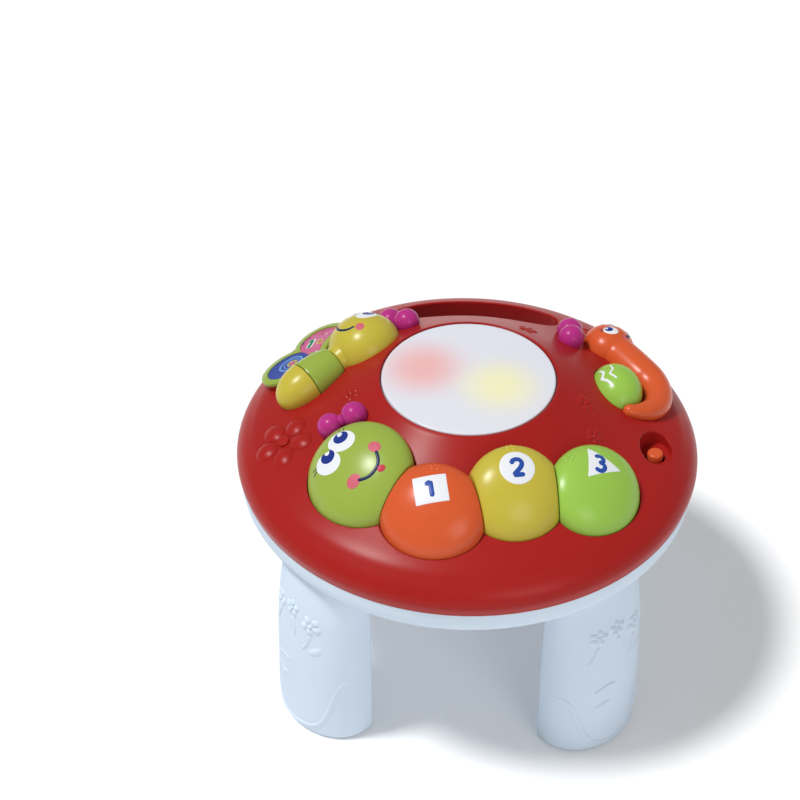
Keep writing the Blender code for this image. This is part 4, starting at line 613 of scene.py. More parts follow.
# Legs: four hollow white mouldings with a round outside, a flat inside and a soft foot.
# Each plugs into a pocket under the tray with a shorter section at its top.
leg_shares = ((0, 0.93, 0.89), (0.018, 0.98, 0.96), (0.07, 1.0, 0.995), (0.25, 1.0, 0.995), (0.5, 1.0, 0.99),
              (0.74, 0.97, 0.91), (0.88, 0.935, 0.81), (1.0, *plug))
leg_height, leg_wall = 0.1369, 0.0024
legs = {}
for side, bearing in leg_bearings.items():
    place = leg_place(bearing)

    def leg_loop(level, width, bulge, inset):
        return [place @ Vector((x, y, level)) for x, y in leg_section(width, bulge, inset, 48)]

    loops = [leg_loop(leg_height * share, width, bulge, 0) for share, width, bulge in flowing(leg_shares, 5)]
    loops[0] = leg_loop(*leg_shares[0], 0.0002)
    for level, inset in ((leg_height, 0.0035), (leg_height + 0.0136, 0.0035), (leg_height + 0.014, 0.0039),
                         (leg_height + 0.014, 0.0059), (leg_height - 0.0035, 0.0059)):
        loops.append(leg_loop(level, *plug, inset))
    for share, width, bulge in reversed(leg_shares[2:-1]):
        loops.append(leg_loop(leg_height * share, width, bulge, leg_wall))
    loops.append(leg_loop(leg_wall, *leg_shares[0][1:], leg_wall))
    leg = skin_over("leg_" + side + "_look", loops, satin_white, sharp=40)
    legs[side] = finished(leg, "leg_" + side, "white_plastic", "leg_" + side)


def surface_of(piece):
    """The skin of a piece, on which thin prints and low reliefs are laid."""
    points = [corner.co.copy() for corner in piece.data.vertices]
    return BVHTree.FromPolygons(points, [tuple(face.vertices) for face in piece.data.polygons])


def laid(surface, place, x, y, lift):
    """The point over a plan position of a place, at a lift above the surface below it."""
    up = place.col[2].to_3d()
    start = place @ Vector((x, y, 0.05))
    hit, _, _, _ = surface.ray_cast(start, -up)
    if hit is None:
        hit, _, _, _ = surface.find_nearest(place @ Vector((x, y, 0)))
    return hit + up * lift


def pad(surface, place, outline, thickness, plastic=None, name="pad", domed=False):
    """A thin pad with a rounded edge or a domed top, laid on a surface inside an outline."""
    middle = sum((Vector(point) for point in outline), Vector((0, 0))) / len(outline)
    loops = []
    if domed:
        crown = ((0, 1), (0.3, 0.92), (0.55, 0.72), (0.75, 0.47), (0.88, 0.27), (0.96, 0.11), (1, 0))
    else:
        crown = ((0, 1), (0.3, 1), (0.6, 1), (0.82, 1), (0.93, 0.95), (0.98, 0.75), (1, 0.35))
    for share, lift in (*crown, (1, -1), (0.6, -1), (0.3, -1), (0, -1)):
        spots = [middle.lerp(Vector(point), share) for point in (outline[:1] if share == 0 else outline)]
        loops.append([laid(surface, place, spot.x, spot.y, thickness * lift) for spot in spots])
    return skin_over(name, loops, plastic, sharp=60)


def oval(x, y, half_x, half_y=None, turn=0.0, count=36):
    half_y = half_y or half_x
    swing = math.radians(turn)
    points = []
    for angle in round_angles(count, 0.5):
        along, across = half_x * math.cos(angle), half_y * math.sin(angle)
        points.append((x + along * math.cos(swing) - across * math.sin(swing),
                       y + along * math.sin(swing) + across * math.cos(swing)))
    return points


def bead(surface, place, line, width, height, plastic=None, name="bead", ring=False):
    """A rounded band along a line on a surface, with rounded ends or joined to a ring."""
    path = np.array(line, float)
    if ring:
        path = np.vstack([path, path[:1]])
    lengths = np.concatenate([[0], np.cumsum(np.hypot(*np.diff(path, axis=0).T))])
    total = lengths[-1]
    half = width / 2
    count = max(6, int(total / max(0.0008, width * 0.5)))
    if ring:
        spots = list(np.linspace(0, total, count + 1)[:-1])
    else:
        ends = [0.02, 0.12, 0.3, 0.6, 1.0]
        spots = [half * end for end in ends]
        spots += list(np.linspace(half, max(half, total - half), count + 1)[1:-1])
        spots += [total - half * end for end in reversed(ends)]

    def on_path(length):
        return Vector((np.interp(length, lengths, path[:, 0]), np.interp(length, lengths, path[:, 1])))

    loops = []
    for spot in spots:
        here = on_path(spot)
        reach = total * 0.004 + 0.0001
        low, high = spot - reach, spot + reach
        if ring:
            low, high = low % total, high % total
        ahead = (on_path(high) - on_path(low)).normalized()
        side = Vector((-ahead.y, ahead.x))
        end = 1.0 if ring else min(1.0, min(spot, total - spot) / half)
        share = math.sqrt(max(0.0, 1 - (1 - end) ** 2))
        loop = []
        for turn in range(9):
            angle = math.pi * turn / 8
            point = here + side * half * share * math.cos(angle)
            loop.append(laid(surface, place, point.x, point.y, height * share * math.sin(angle)))
        for across in (-0.98, 0.98):
            point = here + side * half * share * across
            loop.append(laid(surface, place, point.x, point.y, -height))
        loops.append(loop)
    return skin_over(name, loops, plastic, closed=ring, sharp=60)


def blossom(surface, place, x, y, size, height, turn=0.0):
    """A five-petalled flower in low relief, with a round button at its middle."""
    solids = [pad(surface, place, oval(x, y, size * 0.27), height * 1.5, domed=True)]
    for petal in range(5):
        angle = turn + 72 * petal
        swing = math.radians(angle)
        spot = (x + size * 0.62 * math.cos(swing), y + size * 0.62 * math.sin(swing))
        solids.append(pad(surface, place, oval(*spot, size * 0.40, size * 0.36, angle), height * 1.3, domed=True))
    return solids


for side, leg in legs.items():
    place = leg_place(leg_bearings[side])
    along, outward = place.col[0].to_3d(), place.col[1].to_3d()
    face = axes(place.translation, -along, Vector((0, 0, 1)), outward)
    surface = surface_of(leg)
    relief = []
    for x, y, size, turn in ((-0.0025, 0.1072, 0.0062, 20), (0.0139, 0.1010, 0.0074, 50),
                             (-0.0165, 0.1045, 0.0066, 5)):
        relief += blossom(surface, face, x, y, size, 0.0012, turn)
    for line, width in (
        (((-0.0025, 0.1000), (0.0005, 0.0930), (0.0010, 0.0860)), 0.0024),
        (((0.0139, 0.0925), (0.0120, 0.0850), (0.0080, 0.0790)), 0.0024),
        (((-0.0165, 0.0965), (-0.0190, 0.0890), (-0.0225, 0.0830)), 0.0024),
        (((-0.0180, 0.0560), (-0.0110, 0.0600), (-0.0040, 0.0605)), 0.0030),
        (((-0.0362, 0.0500), (-0.0335, 0.0490), (-0.0308, 0.0449), (-0.0265, 0.0279), (-0.0215, 0.0150),
          (-0.0150, 0.0085), (-0.0060, 0.0066), (0.0040, 0.0068), (0.0130, 0.0085), (0.0200, 0.0135),
          (0.0250, 0.0250), (0.0285, 0.0400), (0.0325, 0.0520), (0.0362, 0.0560)), 0.0030),
    ):
        relief.append(bead(surface, face, flowing(line, 8), width, 0.0008))
    for x, y, turn in ((-0.0120, 0.0430, 20), (0.0180, 0.0800, 40)):
        relief.append(pad(surface, face, oval(x, y, 0.0060, 0.0028, turn), 0.0011, domed=True))
    finished(cluster("leg_" + side + "_relief", relief, satin_white), "leg_" + side, "white_plastic")


# Note keys: hollow domed mouldings in glossy colours that press down through the shell, parted by
# thin straight seams where they meet. The lime one is a worm's head and the three others its body.
def key_crossing(first, second):
    """Where two keys' ellipses cross: the ends of the seam between them."""
    _, reach, bearing, half_length, half_width, _ = second
    middle, along, across = polar(reach, bearing), polar(1, bearing + 90), polar(1, bearing)
    outline = [Vector((x, y, 0)) for x, y in key_outline(first, 0, 1440)]
    shares = [((p - middle).dot(along) / half_length) ** 2 + ((p - middle).dot(across) / half_width) ** 2
              for p in outline]
    return [outline[i] for i in range(len(outline)) if (shares[i] - 1) * (shares[i - 1] - 1) < 0]


def key_height(key, point):
    _, reach, bearing, half_length, half_width, crown = key
    offset = point - polar(reach, bearing)
    along = offset.dot(polar(1, bearing + 90)) / half_length
    across = offset.dot(polar(1, bearing))
    bulge = crown * math.sqrt(max(0.0, 1 - along ** 2 - (across / half_width) ** 2))
    return dome_level(reach) + dome_slope(reach) * across + bulge


def key_skin(key, neighbours, plastic):
    name, reach, bearing, half_length, half_width, _ = key
    middle = polar(reach, bearing)
    along, across = polar(1, bearing + 90), polar(1, bearing)
    seams = []
    for neighbour in neighbours:
        start, end = key_crossing(key, neighbour)
        away = Vector((end.y - start.y, start.x - end.x, 0)).normalized()
        if away.dot(middle - start) > 0:
            away = -away
        seams.append((start, away))
    reaches = []
    turns = []
    for angle in round_angles(180):
        toward = (along * math.cos(angle) * half_length + across * math.sin(angle) * half_width).normalized()
        span = 1 / math.sqrt((toward.dot(along) / half_length) ** 2 + (toward.dot(across) / half_width) ** 2)
        for start, away in seams:
            if toward.dot(away) > 0:
                span = min(span, ((start - middle).dot(away) - 0.0003) / toward.dot(away))
        reaches.append(span)
        turns.append(toward)

    def ring(inset, drop, floor=False):
        loop = []
        for span, toward in zip(reaches, turns):
            point = middle + toward * (span - inset if inset < 0.01 else span * (1 - inset))
            skirt = dome_level(point.length) - 0.0035
            level = skirt if floor else max(key_height(key, point) - drop, skirt + 0.0008)
            loop.append(Vector((point.x, point.y, at_seam(level))))
        return loop

    loops = [[Vector((middle.x, middle.y, at_seam(key_height(key, middle))))]]
    loops += [ring(inset, 0) for inset in (0.92, 0.8, 0.66, 0.52, 0.4, 0.3, 0.2, 0.13, 0.07)]
    loops += [ring(0.0010, 0), ring(0.0005, 0.00012), ring(0.00015, 0.0004), ring(0, 0.0009), ring(0, 0, True)]
    loops.append([Vector((middle.x, middle.y, at_seam(dome_level(reach) - 0.0035)))])
    return skin_over(name + "_look", loops, plastic, sharp=50)


glossy_lime = moulded_plastic("glossy_lime_plastic", (0.31, 0.425, 0.060))
glossy_orange = moulded_plastic("glossy_orange_plastic", (0.66, 0.100, 0.026))
glossy_yellow = moulded_plastic("glossy_yellow_plastic", (0.55, 0.46, 0.050))
glossy_green = moulded_plastic("glossy_green_plastic", (0.31, 0.55, 0.075))
key_plastics = (("lime_plastic", glossy_lime), ("orange_plastic", glossy_orange),
                ("yellow_plastic", glossy_yellow), ("green_plastic", glossy_green))
key_bodies = {}
for index, (key, (slot_name, plastic)) in enumerate(zip(keys, key_plastics)):
    neighbours = [keys[other] for other in (index - 1, index + 1) if 0 <= other < len(keys)]
    key_bodies[key[0]] = finished(key_skin(key, neighbours, plastic), key[0], slot_name, key[0])


def tilted(x, y, height, toward, rightward):
    """A frame over a point above the seam, facing a direction, with its X axis as given."""
    toward = Vector(toward).normalized()
    rightward = Vector(rightward)
    rightward = (rightward - toward * rightward.dot(toward)).normalized()
    return axes(Vector((x, y, at_seam(height))), rightward, toward.cross(rightward), toward)




label_white = one_colour("label_white", (0.80, 0.82, 0.86), 0.35)
print_blue = one_colour("print_blue", (0.020, 0.075, 0.36), 0.35)
print_pink = one_colour("print_pink", (0.62, 0.12, 0.17), 0.40)
print_dark = one_colour("print_dark", (0.004, 0.018, 0.075), 0.35)
pupil_blue = one_colour("pupil_blue", (0.010, 0.030, 0.24), 0.35)
corner_square = rounded_box(-0.0105, 0.0105, -0.0092, 0.0092, 0.0006, 4)
label_square = []
for start, end in zip(corner_square, corner_square[1:] + corner_square[:1]):
    label_square += [tuple(Vector(start).lerp(Vector(end), share / 6)) for share in range(6)]
label_triangle = []
corners = [Vector(corner) for corner in ((-0.0072, 0.0116), (-0.0078, -0.0112), (0.0150, -0.0008))]
for index, here in enumerate(corners):
    before, after = corners[index - 1], corners[(index + 1) % 3]
    entry, leave = here.lerp(before, 0.04), here.lerp(after, 0.04)
    label_triangle += [tuple(entry), tuple(entry.lerp(here, 0.6).lerp(here.lerp(leave, 0.4), 0.5)), tuple(leave)]
    label_triangle += [tuple(leave.lerp(after.lerp(here, 0.04), share / 12)) for share in range(1, 12)]
numbers = {
    "note_key_1": [((-0.0024, 0.0022), (0.0004, 0.0044)), ((0.0004, 0.0044), (0.0004, 0), (0.0004, -0.0046))],
    "note_key_2": [flowing(((-0.0030, 0.0018), (-0.0016, 0.0040), (0.0012, 0.0042), (0.0027, 0.0020),
                            (0.0012, -0.0008), (-0.0030, -0.0044)), 6), ((-0.0030, -0.0044), (0.0032, -0.0044))],
    "note_key_3": [flowing(((-0.0027, 0.0036), (-0.0002, 0.0047), (0.0022, 0.0028), (0.0012, 0.0008),
                            (-0.0008, 0.0004)), 6),
                   flowing(((-0.0008, 0.0004), (0.0018, -0.0002), (0.0028, -0.0024), (0.0006, -0.0047),
                            (-0.0028, -0.0036)), 6)],
}
for key_name, outline, place in (
    ("note_key_1", label_square, tilted(-0.0178, -0.1026, 0.0600, (-0.11, -0.42, 0.90), (0.97, 0.14, 0.17))),
    ("note_key_2", oval(0, 0, 0.0112, count=60),
     tilted(0.0343, -0.0860, 0.0672, (0.17, -0.34, 0.92), (0.96, 0.27, 0.0))),
    ("note_key_3", label_triangle, tilted(0.0852, -0.0672, 0.0565, (0.33, -0.14, 0.93), (0.93, 0.125, -0.35))),
):
    label = pad(surface_of(key_bodies[key_name]), place, outline, 0.00022, label_white, key_name + "_label")
    finished(label, key_name, "white_plastic")
    strokes = []
    for line in numbers[key_name]:
        strokes.append(bead(surface_of(label), place, [(1.2 * x, 1.2 * y) for x, y in line], 0.0031, 0.00022))
    finished(cluster(key_name + "_number", strokes, print_blue), key_name)
for key, along, across, (slot_name, plastic) in zip(
        keys[1:], (-0.0025, 0.0030, -0.0060), (-0.0172, -0.0195, -0.0175), key_plastics[1:]):
    key_name, reach, bearing = key[:3]
    spot = polar(reach, bearing) + polar(along, bearing + 90) + polar(across, bearing)
    place = Matrix.Translation((spot.x, spot.y, at_seam(0.06)))
    petals = blossom(surface_of(key_bodies[key_name]), place, 0, 0, 0.0042, 0.0005, 18)
    finished(cluster(key_name + "_relief", petals, plastic), key_name, slot_name)


def draw_face(name, body, surface, place, eyes, cheeks, smile, lashes, scale=1.0):
    """A plain smiling face in printed ink: eye whites, pupils, lashes, cheeks and a smile."""
    def stamped(part, base, outlines, thickness, ink):
        shapes = [pad(base, place, outline, thickness) for outline in outlines]
        return finished(cluster(name + part, shapes, ink), body)

    whites = stamped("_eye_whites", surface, [oval(*eye[:5], 48) for eye in eyes], 0.00014, label_white)
    pupils = [oval(x, y, size, size * 0.9, eye[4]) for eye in eyes for x, y, size in (eye[5:8],)]
    pupils = stamped("_pupils", surface_of(whites), pupils, 0.00014, pupil_blue)
    lights = [oval(*eye[8:], eye[7] * 0.34) for eye in eyes]
    stamped("_eye_lights", surface_of(pupils), lights, 0.00012, label_white)
    stamped("_cheeks", surface, [oval(*cheek) for cheek in cheeks], 0.00014, print_pink)
    finished(bead(surface, place, flowing(smile, 8), 0.0021 * scale, 0.00028, print_dark, name + "_smile"), body)
    strokes = [bead(surface, place, line, 0.0008 * scale, 0.0002) for line in lashes]
    finished(cluster(name + "_lashes", strokes, print_dark), body)


worm_skin = surface_of(key_bodies["worm_head_key"])
worm_middle = polar(0.0985, -40.0)
worm_height = key_height(keys[0], worm_middle)
worm_face = tilted(worm_middle.x, worm_middle.y, worm_height, (-0.36, -0.36, 0.86), polar(1, 50))
draw_face(
    "worm", "worm_head_key", worm_skin, worm_face,
    ((-0.0182, -0.0006, 0.0100, 0.0082, 28, -0.0206, 0.0012, 0.0054, -0.0230, 0.0024),
     (-0.0161, -0.0168, 0.0094, 0.0080, 30, -0.0192, -0.0136, 0.0054, -0.0214, -0.0119)),
    ((0.0050, 0.0076, 0.0042, 0.0037), (0.0080, -0.0176, 0.0052, 0.0040, 80)),
    ((0.0077, 0.0060), (0.0124, 0.0026), (0.0150, -0.0016), (0.0153, -0.0071), (0.0139, -0.0113),
     (0.0101, -0.0159)),
    (((-0.0262, 0.0040), (-0.0284, 0.0056)), ((-0.0238, 0.0062), (-0.0256, 0.0078)),
     ((-0.0228, -0.0228), (-0.0244, -0.0262)), ((-0.0212, -0.0246), (-0.0216, -0.0284))),
)
print_red = one_colour("print_red", (0.55, 0.02, 0.06), 0.35)
finished(pad(worm_skin, worm_face, oval(0.0178, -0.0012, 0.0027, 0.0021, 80), 0.0002, print_red, "worm_lip"),
         "worm_head_key")


# Drum disc: a shallow milky cap that lights up from the lamps below and presses down in the shell.
# Its red and yellow glows are painted light, mixed into the cap's colour. A flange under the shell's lip holds it.
milky_white = moulded_plastic("milky_disc_plastic", (0.74, 0.75, 0.82), 0.22)
tree = milky_white.node_tree
tint = next(link.from_socket for link in tree.links if link.to_socket.name == "Base Color")
# Painted glow: red and yellow pools of lamp light mixed into the disc's base colour, strongest at two spots and
# fading outward.
for painted_glow_name, spot, reach, colour in (("red_glow", (-0.0300, 0.0060), 0.042, (0.90, 0.30, 0.25)),
                                       ("yellow_glow", (0.0205, -0.0092), 0.040, (0.95, 0.90, 0.36))):
    where = tree.nodes.new("ShaderNodeTexCoord")
    apart = tree.nodes.new("ShaderNodeVectorMath")
    apart.operation = "DISTANCE"
    apart.inputs[1].default_value = (*spot, at_seam(0.068))
    fade = tree.nodes.new("ShaderNodeMapRange")
    fade.interpolation_type = "SMOOTHERSTEP"
    set_values(fade, From_Max=reach, To_Min=0.62, To_Max=0.0)
    painted_glow = tree.nodes.new("ShaderNodeMix")
    painted_glow.name = painted_glow_name
    painted_glow.data_type = "RGBA"
    set_values(painted_glow, B=(*colour, 1))
    join(tree, where, "Object", apart, 0)
    join(tree, apart, "Value", fade, "Value")
    join(tree, fade, 0, painted_glow, "Factor")
    tree.links.new(tint, painted_glow.inputs["A"])
    tint = painted_glow.outputs["Result"]
tree.links.new(tint, tree.nodes["Principled BSDF"].inputs["Base Color"])
disc_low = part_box("drum_disc")[0].z
disc_line = [(0, 0.06836)]
disc_line += [(0.0563 * share, 0.06616 + 0.0022 * (1 - share ** 2))
              for share in (0.2, 0.4, 0.55, 0.7, 0.82, 0.91, 0.97)]
disc_line += [(0.0557, 0.06618), (0.0561, 0.0659), (0.0563, 0.0655)]
flange_line = [(0.0563, disc_low + 0.0016), (0.0593, disc_low + 0.0016), (0.0593, disc_low), (0.0537, disc_low)]
inner_line = [(0.0537, 0.0636), (0.030, 0.0650), (0, 0.0657)]
disc_profile = from_seam(disc_line) + flange_line + from_seam(inner_line)
finished(lathe("drum_disc_look", disc_profile, 160, milky_white), "drum_disc", "clear_white_plastic", "drum_disc")


# Butterfly: a yellow head and tail fixed on the shell, and between them a barrel that turns on a
# steel pin and carries the wing, so that a child can flip it over.
head_place = on_dome(polar(0.0845, -122.6))
butterfly_head = lathe("butterfly_head_look", egg_line(0.0245, 0.0220, 32), 72, glossy_yellow, head_place)
collar = [(0, 0.0150), (0.0124, 0.0150), (0.0112, 0.0205), (0.0106, 0.0240), (0.0103, 0.0246), (0.0098, 0.0248),
          (0, 0.0248)]
carve(butterfly_head, "UNION", lathe("collar", collar, 64, None, bug_lathe))
draw_face(
    "butterfly", "housing", surface_of(butterfly_head), head_place,
    ((0.0072, -0.0064, 0.0070, 0.0058, -12, 0.0096, -0.0060, 0.0038, 0.0114, -0.0064),
     (0.0072, 0.0064, 0.0070, 0.0058, 12, 0.0098, 0.0060, 0.0038, 0.0116, 0.0054)),
    ((-0.0066, -0.0116, 0.0030, 0.0026, -30), (-0.0045, 0.0128, 0.0030, 0.0026, 30)),
    ((-0.0082, -0.0086), (-0.0114, -0.0044), (-0.0120, 0.0007), (-0.0103, 0.0057), (-0.0062, 0.0102)),
    (((0.0142, -0.0078), (0.0164, -0.0094)), ((0.0150, -0.0062), (0.0174, -0.0070)),
     ((0.0142, 0.0078), (0.0164, 0.0094)), ((0.0150, 0.0062), (0.0174, 0.0070))),
    0.72,
)
finished(butterfly_head, "housing", "yellow_plastic", "butterfly_head")

tail_line = [(0, 0.0490), (0.0150, 0.0490), (0.0154, 0.0493)]
for step in range(1, 24):
    angle = math.pi / 2 * step / 24
    tail_line.append((barrel_thick * math.cos(angle), barrel_middle + 0.0235 * math.sin(angle)))
finished(lathe("butterfly_tail_look", tail_line + [(0, 0.0725)], 64, glossy_yellow, bug_lathe),
         "housing", "yellow_plastic", "butterfly_tail")
wing_hub = Vector((0.0295, 0.031))


def wing_edge(inset):
    """Two round lobes and the root, seen from above the wing, cleared round the head."""
    hub = wing_hub
    points = []
    for angle in round_angles(240):
        toward = Vector((math.cos(angle), math.sin(angle)))
        spans = [0.004]
        for centre, half_x, half_y in (((0.015, 0.033), 0.020, 0.020), ((0.0452, 0.0300), 0.0203, 0.0180)):
            half_x, half_y = half_x - inset, half_y - inset
            start = Vector(((hub.x - centre[0]) / half_x, (hub.y - centre[1]) / half_y))
            run = Vector((toward.x / half_x, toward.y / half_y))
            root = start.dot(run) ** 2 - run.dot(run) * (start.dot(start) - 1)
            if root > 0:
                spans.append((math.sqrt(root) - start.dot(run)) / run.dot(run))
        if toward.y < 0:
            down = (hub.y - 0.00775) / -toward.y
            if abs(hub.x + toward.x * down - 0.03675) < 0.01165 - inset:
                spans.append(down)
        span = max(spans)
        root = hub.dot(toward) ** 2 - (hub.dot(hub) - (0.0265 + inset) ** 2)
        if root > 0 and -hub.dot(toward) - math.sqrt(root) > 0:
            span = min(span, -hub.dot(toward) - math.sqrt(root))
        points.append(hub + toward * span)
    return points


barrel_line = [(0, barrel_start)]
for step in range(25):
    along = barrel_start + (barrel_end - barrel_start) * step / 24
    barrel_line.append((barrel_radius(along) - (0.0003 if step in (0, 24) else 0), along))
wing = lathe("butterfly_wing_look", barrel_line + [(0, barrel_end)], 96, glossy_lime, bug_lathe)
wing_loops = []
for level, inset in ((0.0018, 0.0008), (0.0021, 0.0003), (0.0026, 0), (0.0046, 0), (0.0051, 0.0003),
                     (0.0054, 0.0008)):
    wing_loops.append([bug_plan @ Vector((x, y, level)) for x, y in wing_edge(inset)])
carve(wing, "UNION", skin_over("blade", wing_loops))
tail_room = [(0, barrel_end), (0.0156, barrel_end)]
tail_room += [(radius + 0.0006, along) for radius, along in tail_line[2:]] + [(0, 0.0731)]
carve(wing, "DIFFERENCE", lathe("tail_room", tail_room, 64, None, bug_lathe, 0.3))
inlay = []
inlay_root = 0.0166
for spot in wing_edge(0.0044):
    if spot.y < inlay_root:
        spot = wing_hub.lerp(spot, (wing_hub.y - inlay_root) / (wing_hub.y - spot.y))
    inlay.append(spot)


def plate(name, outline, low, high, plastic):
    """A flat inlay of the wing with a slightly smaller top edge."""
    edge = 0.00025
    middle = sum((Vector(point) for point in outline), Vector((0, 0))) / len(outline)
    loops = []
    for level, share in ((low, 1), (high - edge, 1), (high, 0.985)):
        loops.append([bug_plan @ Vector((*middle.lerp(Vector(point), share), level)) for point in outline])
    return finished(skin_over(name, loops, plastic), "wing")


carve(wing, "DIFFERENCE", slab("inlay_recess", [tuple(point) for point in inlay], 0.0046, 0.008, bug_plan))
wing_pink = one_colour("wing_pink", (0.58, 0.11, 0.27), 0.32)
wing_blue = one_colour("wing_blue", (0.022, 0.055, 0.33), 0.32)
sky_blue = one_colour("sky_blue", (0.13, 0.31, 0.62), 0.32)
pink = plate("wing_pink_inlay", [wing_hub.lerp(point, 0.985) for point in inlay], 0.0042, 0.0049, wing_pink)
blue = plate("wing_blue_inlay", oval(0.0452, 0.0302, 0.0154, 0.0131, 0, 72), 0.0042, 0.0051, wing_blue)
on_pink, on_blue = surface_of(pink), surface_of(blue)
for part, ring_line, width, ink in (
    ("outer", oval(0.0427, 0.0300, 0.0083, 0.0074, 0, 60), 0.0017, sky_blue),
    ("middle", oval(0.0424, 0.0297, 0.0056, 0.0049, 0, 48), 0.0009, sky_blue),
    ("inner", oval(0.0420, 0.0294, 0.0032, 0.0029), 0.0013, glossy_yellow),
):
    finished(bead(on_blue, bug_plan, ring_line, width, 0.0002, ink, "wing_ring_" + part, True), "wing")
finished(pad(on_blue, bug_plan, oval(0.0420, 0.0294, 0.0020), 0.0002, wing_pink, "wing_ring_dot"), "wing")
figure_line = [(-0.0022, 0.0032), (0.0010, 0.0052), (0.0010, 0.0030), (-0.0006, -0.0052)]
turned_line = [(0.0215 - 0.726 * x - 0.688 * y, 0.0378 - 0.688 * x + 0.726 * y) for x, y in figure_line]
edge_figure = bead(on_pink, bug_plan, turned_line, 0.0046, 0.00014, label_white, "wing_number_edge")
finished(edge_figure, "wing")
print_green = one_colour("print_green", (0.02, 0.22, 0.09), 0.35)
finished(bead(surface_of(edge_figure), bug_plan, turned_line, 0.0028, 0.00018, print_green, "wing_number"), "wing")
small_ring = oval(0.0165, 0.0322, 0.0022)
finished(bead(on_pink, bug_plan, small_ring, 0.0012, 0.0002, glossy_yellow, "wing_small_ring", True), "wing")
for colour_name, ink, dot_spots in (
    ("orange", glossy_orange, ((0.0165, 0.0322, 0.0009), (0.0095, 0.0405, 0.0008), (0.0190, 0.0262, 0.0008),
                               (0.0120, 0.0455, 0.0006))),
    ("white", label_white, ((0.0255, 0.0222, 0.0012), (0.0085, 0.0360, 0.0006), (0.0228, 0.0202, 0.0007))),
    ("blue", print_blue, ((0.0235, 0.0446, 0.0008), (0.0175, 0.0455, 0.0005))),
):
    dots = [pad(on_pink, bug_plan, oval(x, y, size, count=20), 0.0002) for x, y, size in dot_spots]
    finished(cluster("wing_" + colour_name + "_dots", dots, ink), "wing")
finished(wing, "wing", "lime_plastic", "butterfly_wing")


# Snail: an orange head and a curled tail in one moulding, fixed on the shell round a roller egg.
# The egg is two halves, green and orange, that spin together on a steel pin.
snail_middle = polar(0.118, 129.5)
snail_place = on_dome(snail_middle, 0.001)
snail = lathe("snail_body_look", egg_line(0.0178, 0.0157, 32), 72, glossy_orange, snail_place)
curl_middle = egg_plan_spot + Vector((0.0008, 0.0020, 0))
snail_path = []
for step in range(38):
    angle = math.radians(54 - 128 * step / 37)
    reach = 0.0276 - 0.0033 * min(1, step / 30)
    snail_path.append(curl_middle + Vector((math.cos(angle), math.sin(angle), 0)) * reach)
snail_path = [snail_middle.lerp(snail_path[0], share) for share in (0, 0.02, 0.2, 0.4, 0.6, 0.8)] + snail_path
for point in snail_path:
    point.z = at_seam(dome_level(point.to_2d().length) + 0.0020)


def round_loop(middle, ahead, radius):
    """A round section of the tail across its run."""
    side = Vector((0, 0, 1)).cross(ahead).normalized()
    up = ahead.cross(side).normalized()
    return [middle + (side * math.cos(a) + up * math.sin(a)) * radius for a in round_angles(32)]


tail_loops = [[snail_path[0]]]
for index in range(1, len(snail_path)):
    ahead = snail_path[min(index + 1, len(snail_path) - 1)] - snail_path[index - 1]
    along = max(0, index - 6) / 37
    tail_loops.append(round_loop(snail_path[index], ahead, 0.0128 - 0.0085 * along ** 1.15))
tip_run = (snail_path[-1] - snail_path[-2]).normalized()
for share in (0.35, 0.65, 0.85, 0.96):
    middle = snail_path[-1] + tip_run * 0.0041 * share
    tail_loops.append(round_loop(middle, tip_run, 0.0043 * math.sqrt(1 - share ** 2)))
tail_loops.append([snail_path[-1] + tip_run * 0.0041])
carve(snail, "UNION", skin_over("snail_tail", tail_loops))
carve(snail, "DIFFERENCE", lathe("egg_space", egg_profile(0.0006), 48, None, egg_lathe, 0.3))
draw_face(
    "snail", "housing", surface_of(snail), snail_place,
    ((0.0006, -0.0060, 0.0050, 0.0040, 50, -0.0008, -0.0068, 0.0027, -0.0020, -0.0078),
     (-0.0064, 0.0026, 0.0050, 0.0040, 50, -0.0078, 0.0018, 0.0027, -0.0088, 0.0006)),
    ((0.0086, 0.0004, 0.0020, 0.0017), (-0.0036, 0.0112, 0.0020, 0.0017)),
    ((0.0078, 0.0024), (0.0072, 0.0058), (0.0046, 0.0088), (-0.0006, 0.0106)),
    (((-0.0034, -0.0098), (-0.0046, -0.0110)), ((-0.0018, -0.0104), (-0.0026, -0.0119)),
     ((-0.0108, -0.0016), (-0.0122, -0.0026))),
    0.95,
)
finished(snail, "housing", "orange_plastic", "snail_body")

sideways, upward = egg_lathe.col[1].to_3d(), egg_lathe.col[0].to_3d()
zigzag_lines = (
    ((-0.0146, 0.0075), (-0.0140, 0.0030), (-0.0155, -0.0018), (-0.0128, -0.0065), (-0.0108, -0.0108)),
    ((-0.0088, 0.0100), (-0.0094, 0.0036), (-0.0120, -0.0002), (-0.0088, -0.0056)),
)
for half, plastic, slot_name, low, high, facing in (
    ("green", glossy_green, "green_plastic", 0.00015, 0.04, 1),
    ("orange", glossy_orange, "orange_plastic", -0.04, -0.00015, -1),
):
    egg_half = lathe("egg_" + half + "_look", egg_profile(0, 40), 96, plastic, egg_lathe, 0.5)
    half_outline = [(low, -0.04), (high, -0.04), (high, 0.04), (low, 0.04)]
    carve(egg_half, "INTERSECT", slab("half_space", half_outline, -0.04, 0.04, egg_lathe))
    egg_face = axes(egg_spot.translation, sideways * facing, egg_axis, upward * facing)
    zigzags = [bead(surface_of(egg_half), egg_face, line, 0.0011, 0.0002) for line in zigzag_lines]
    finished(cluster("egg_" + half + "_zigzags", zigzags, label_white), "egg")
    finished(egg_half, "egg", slot_name, "egg_roller_" + half)


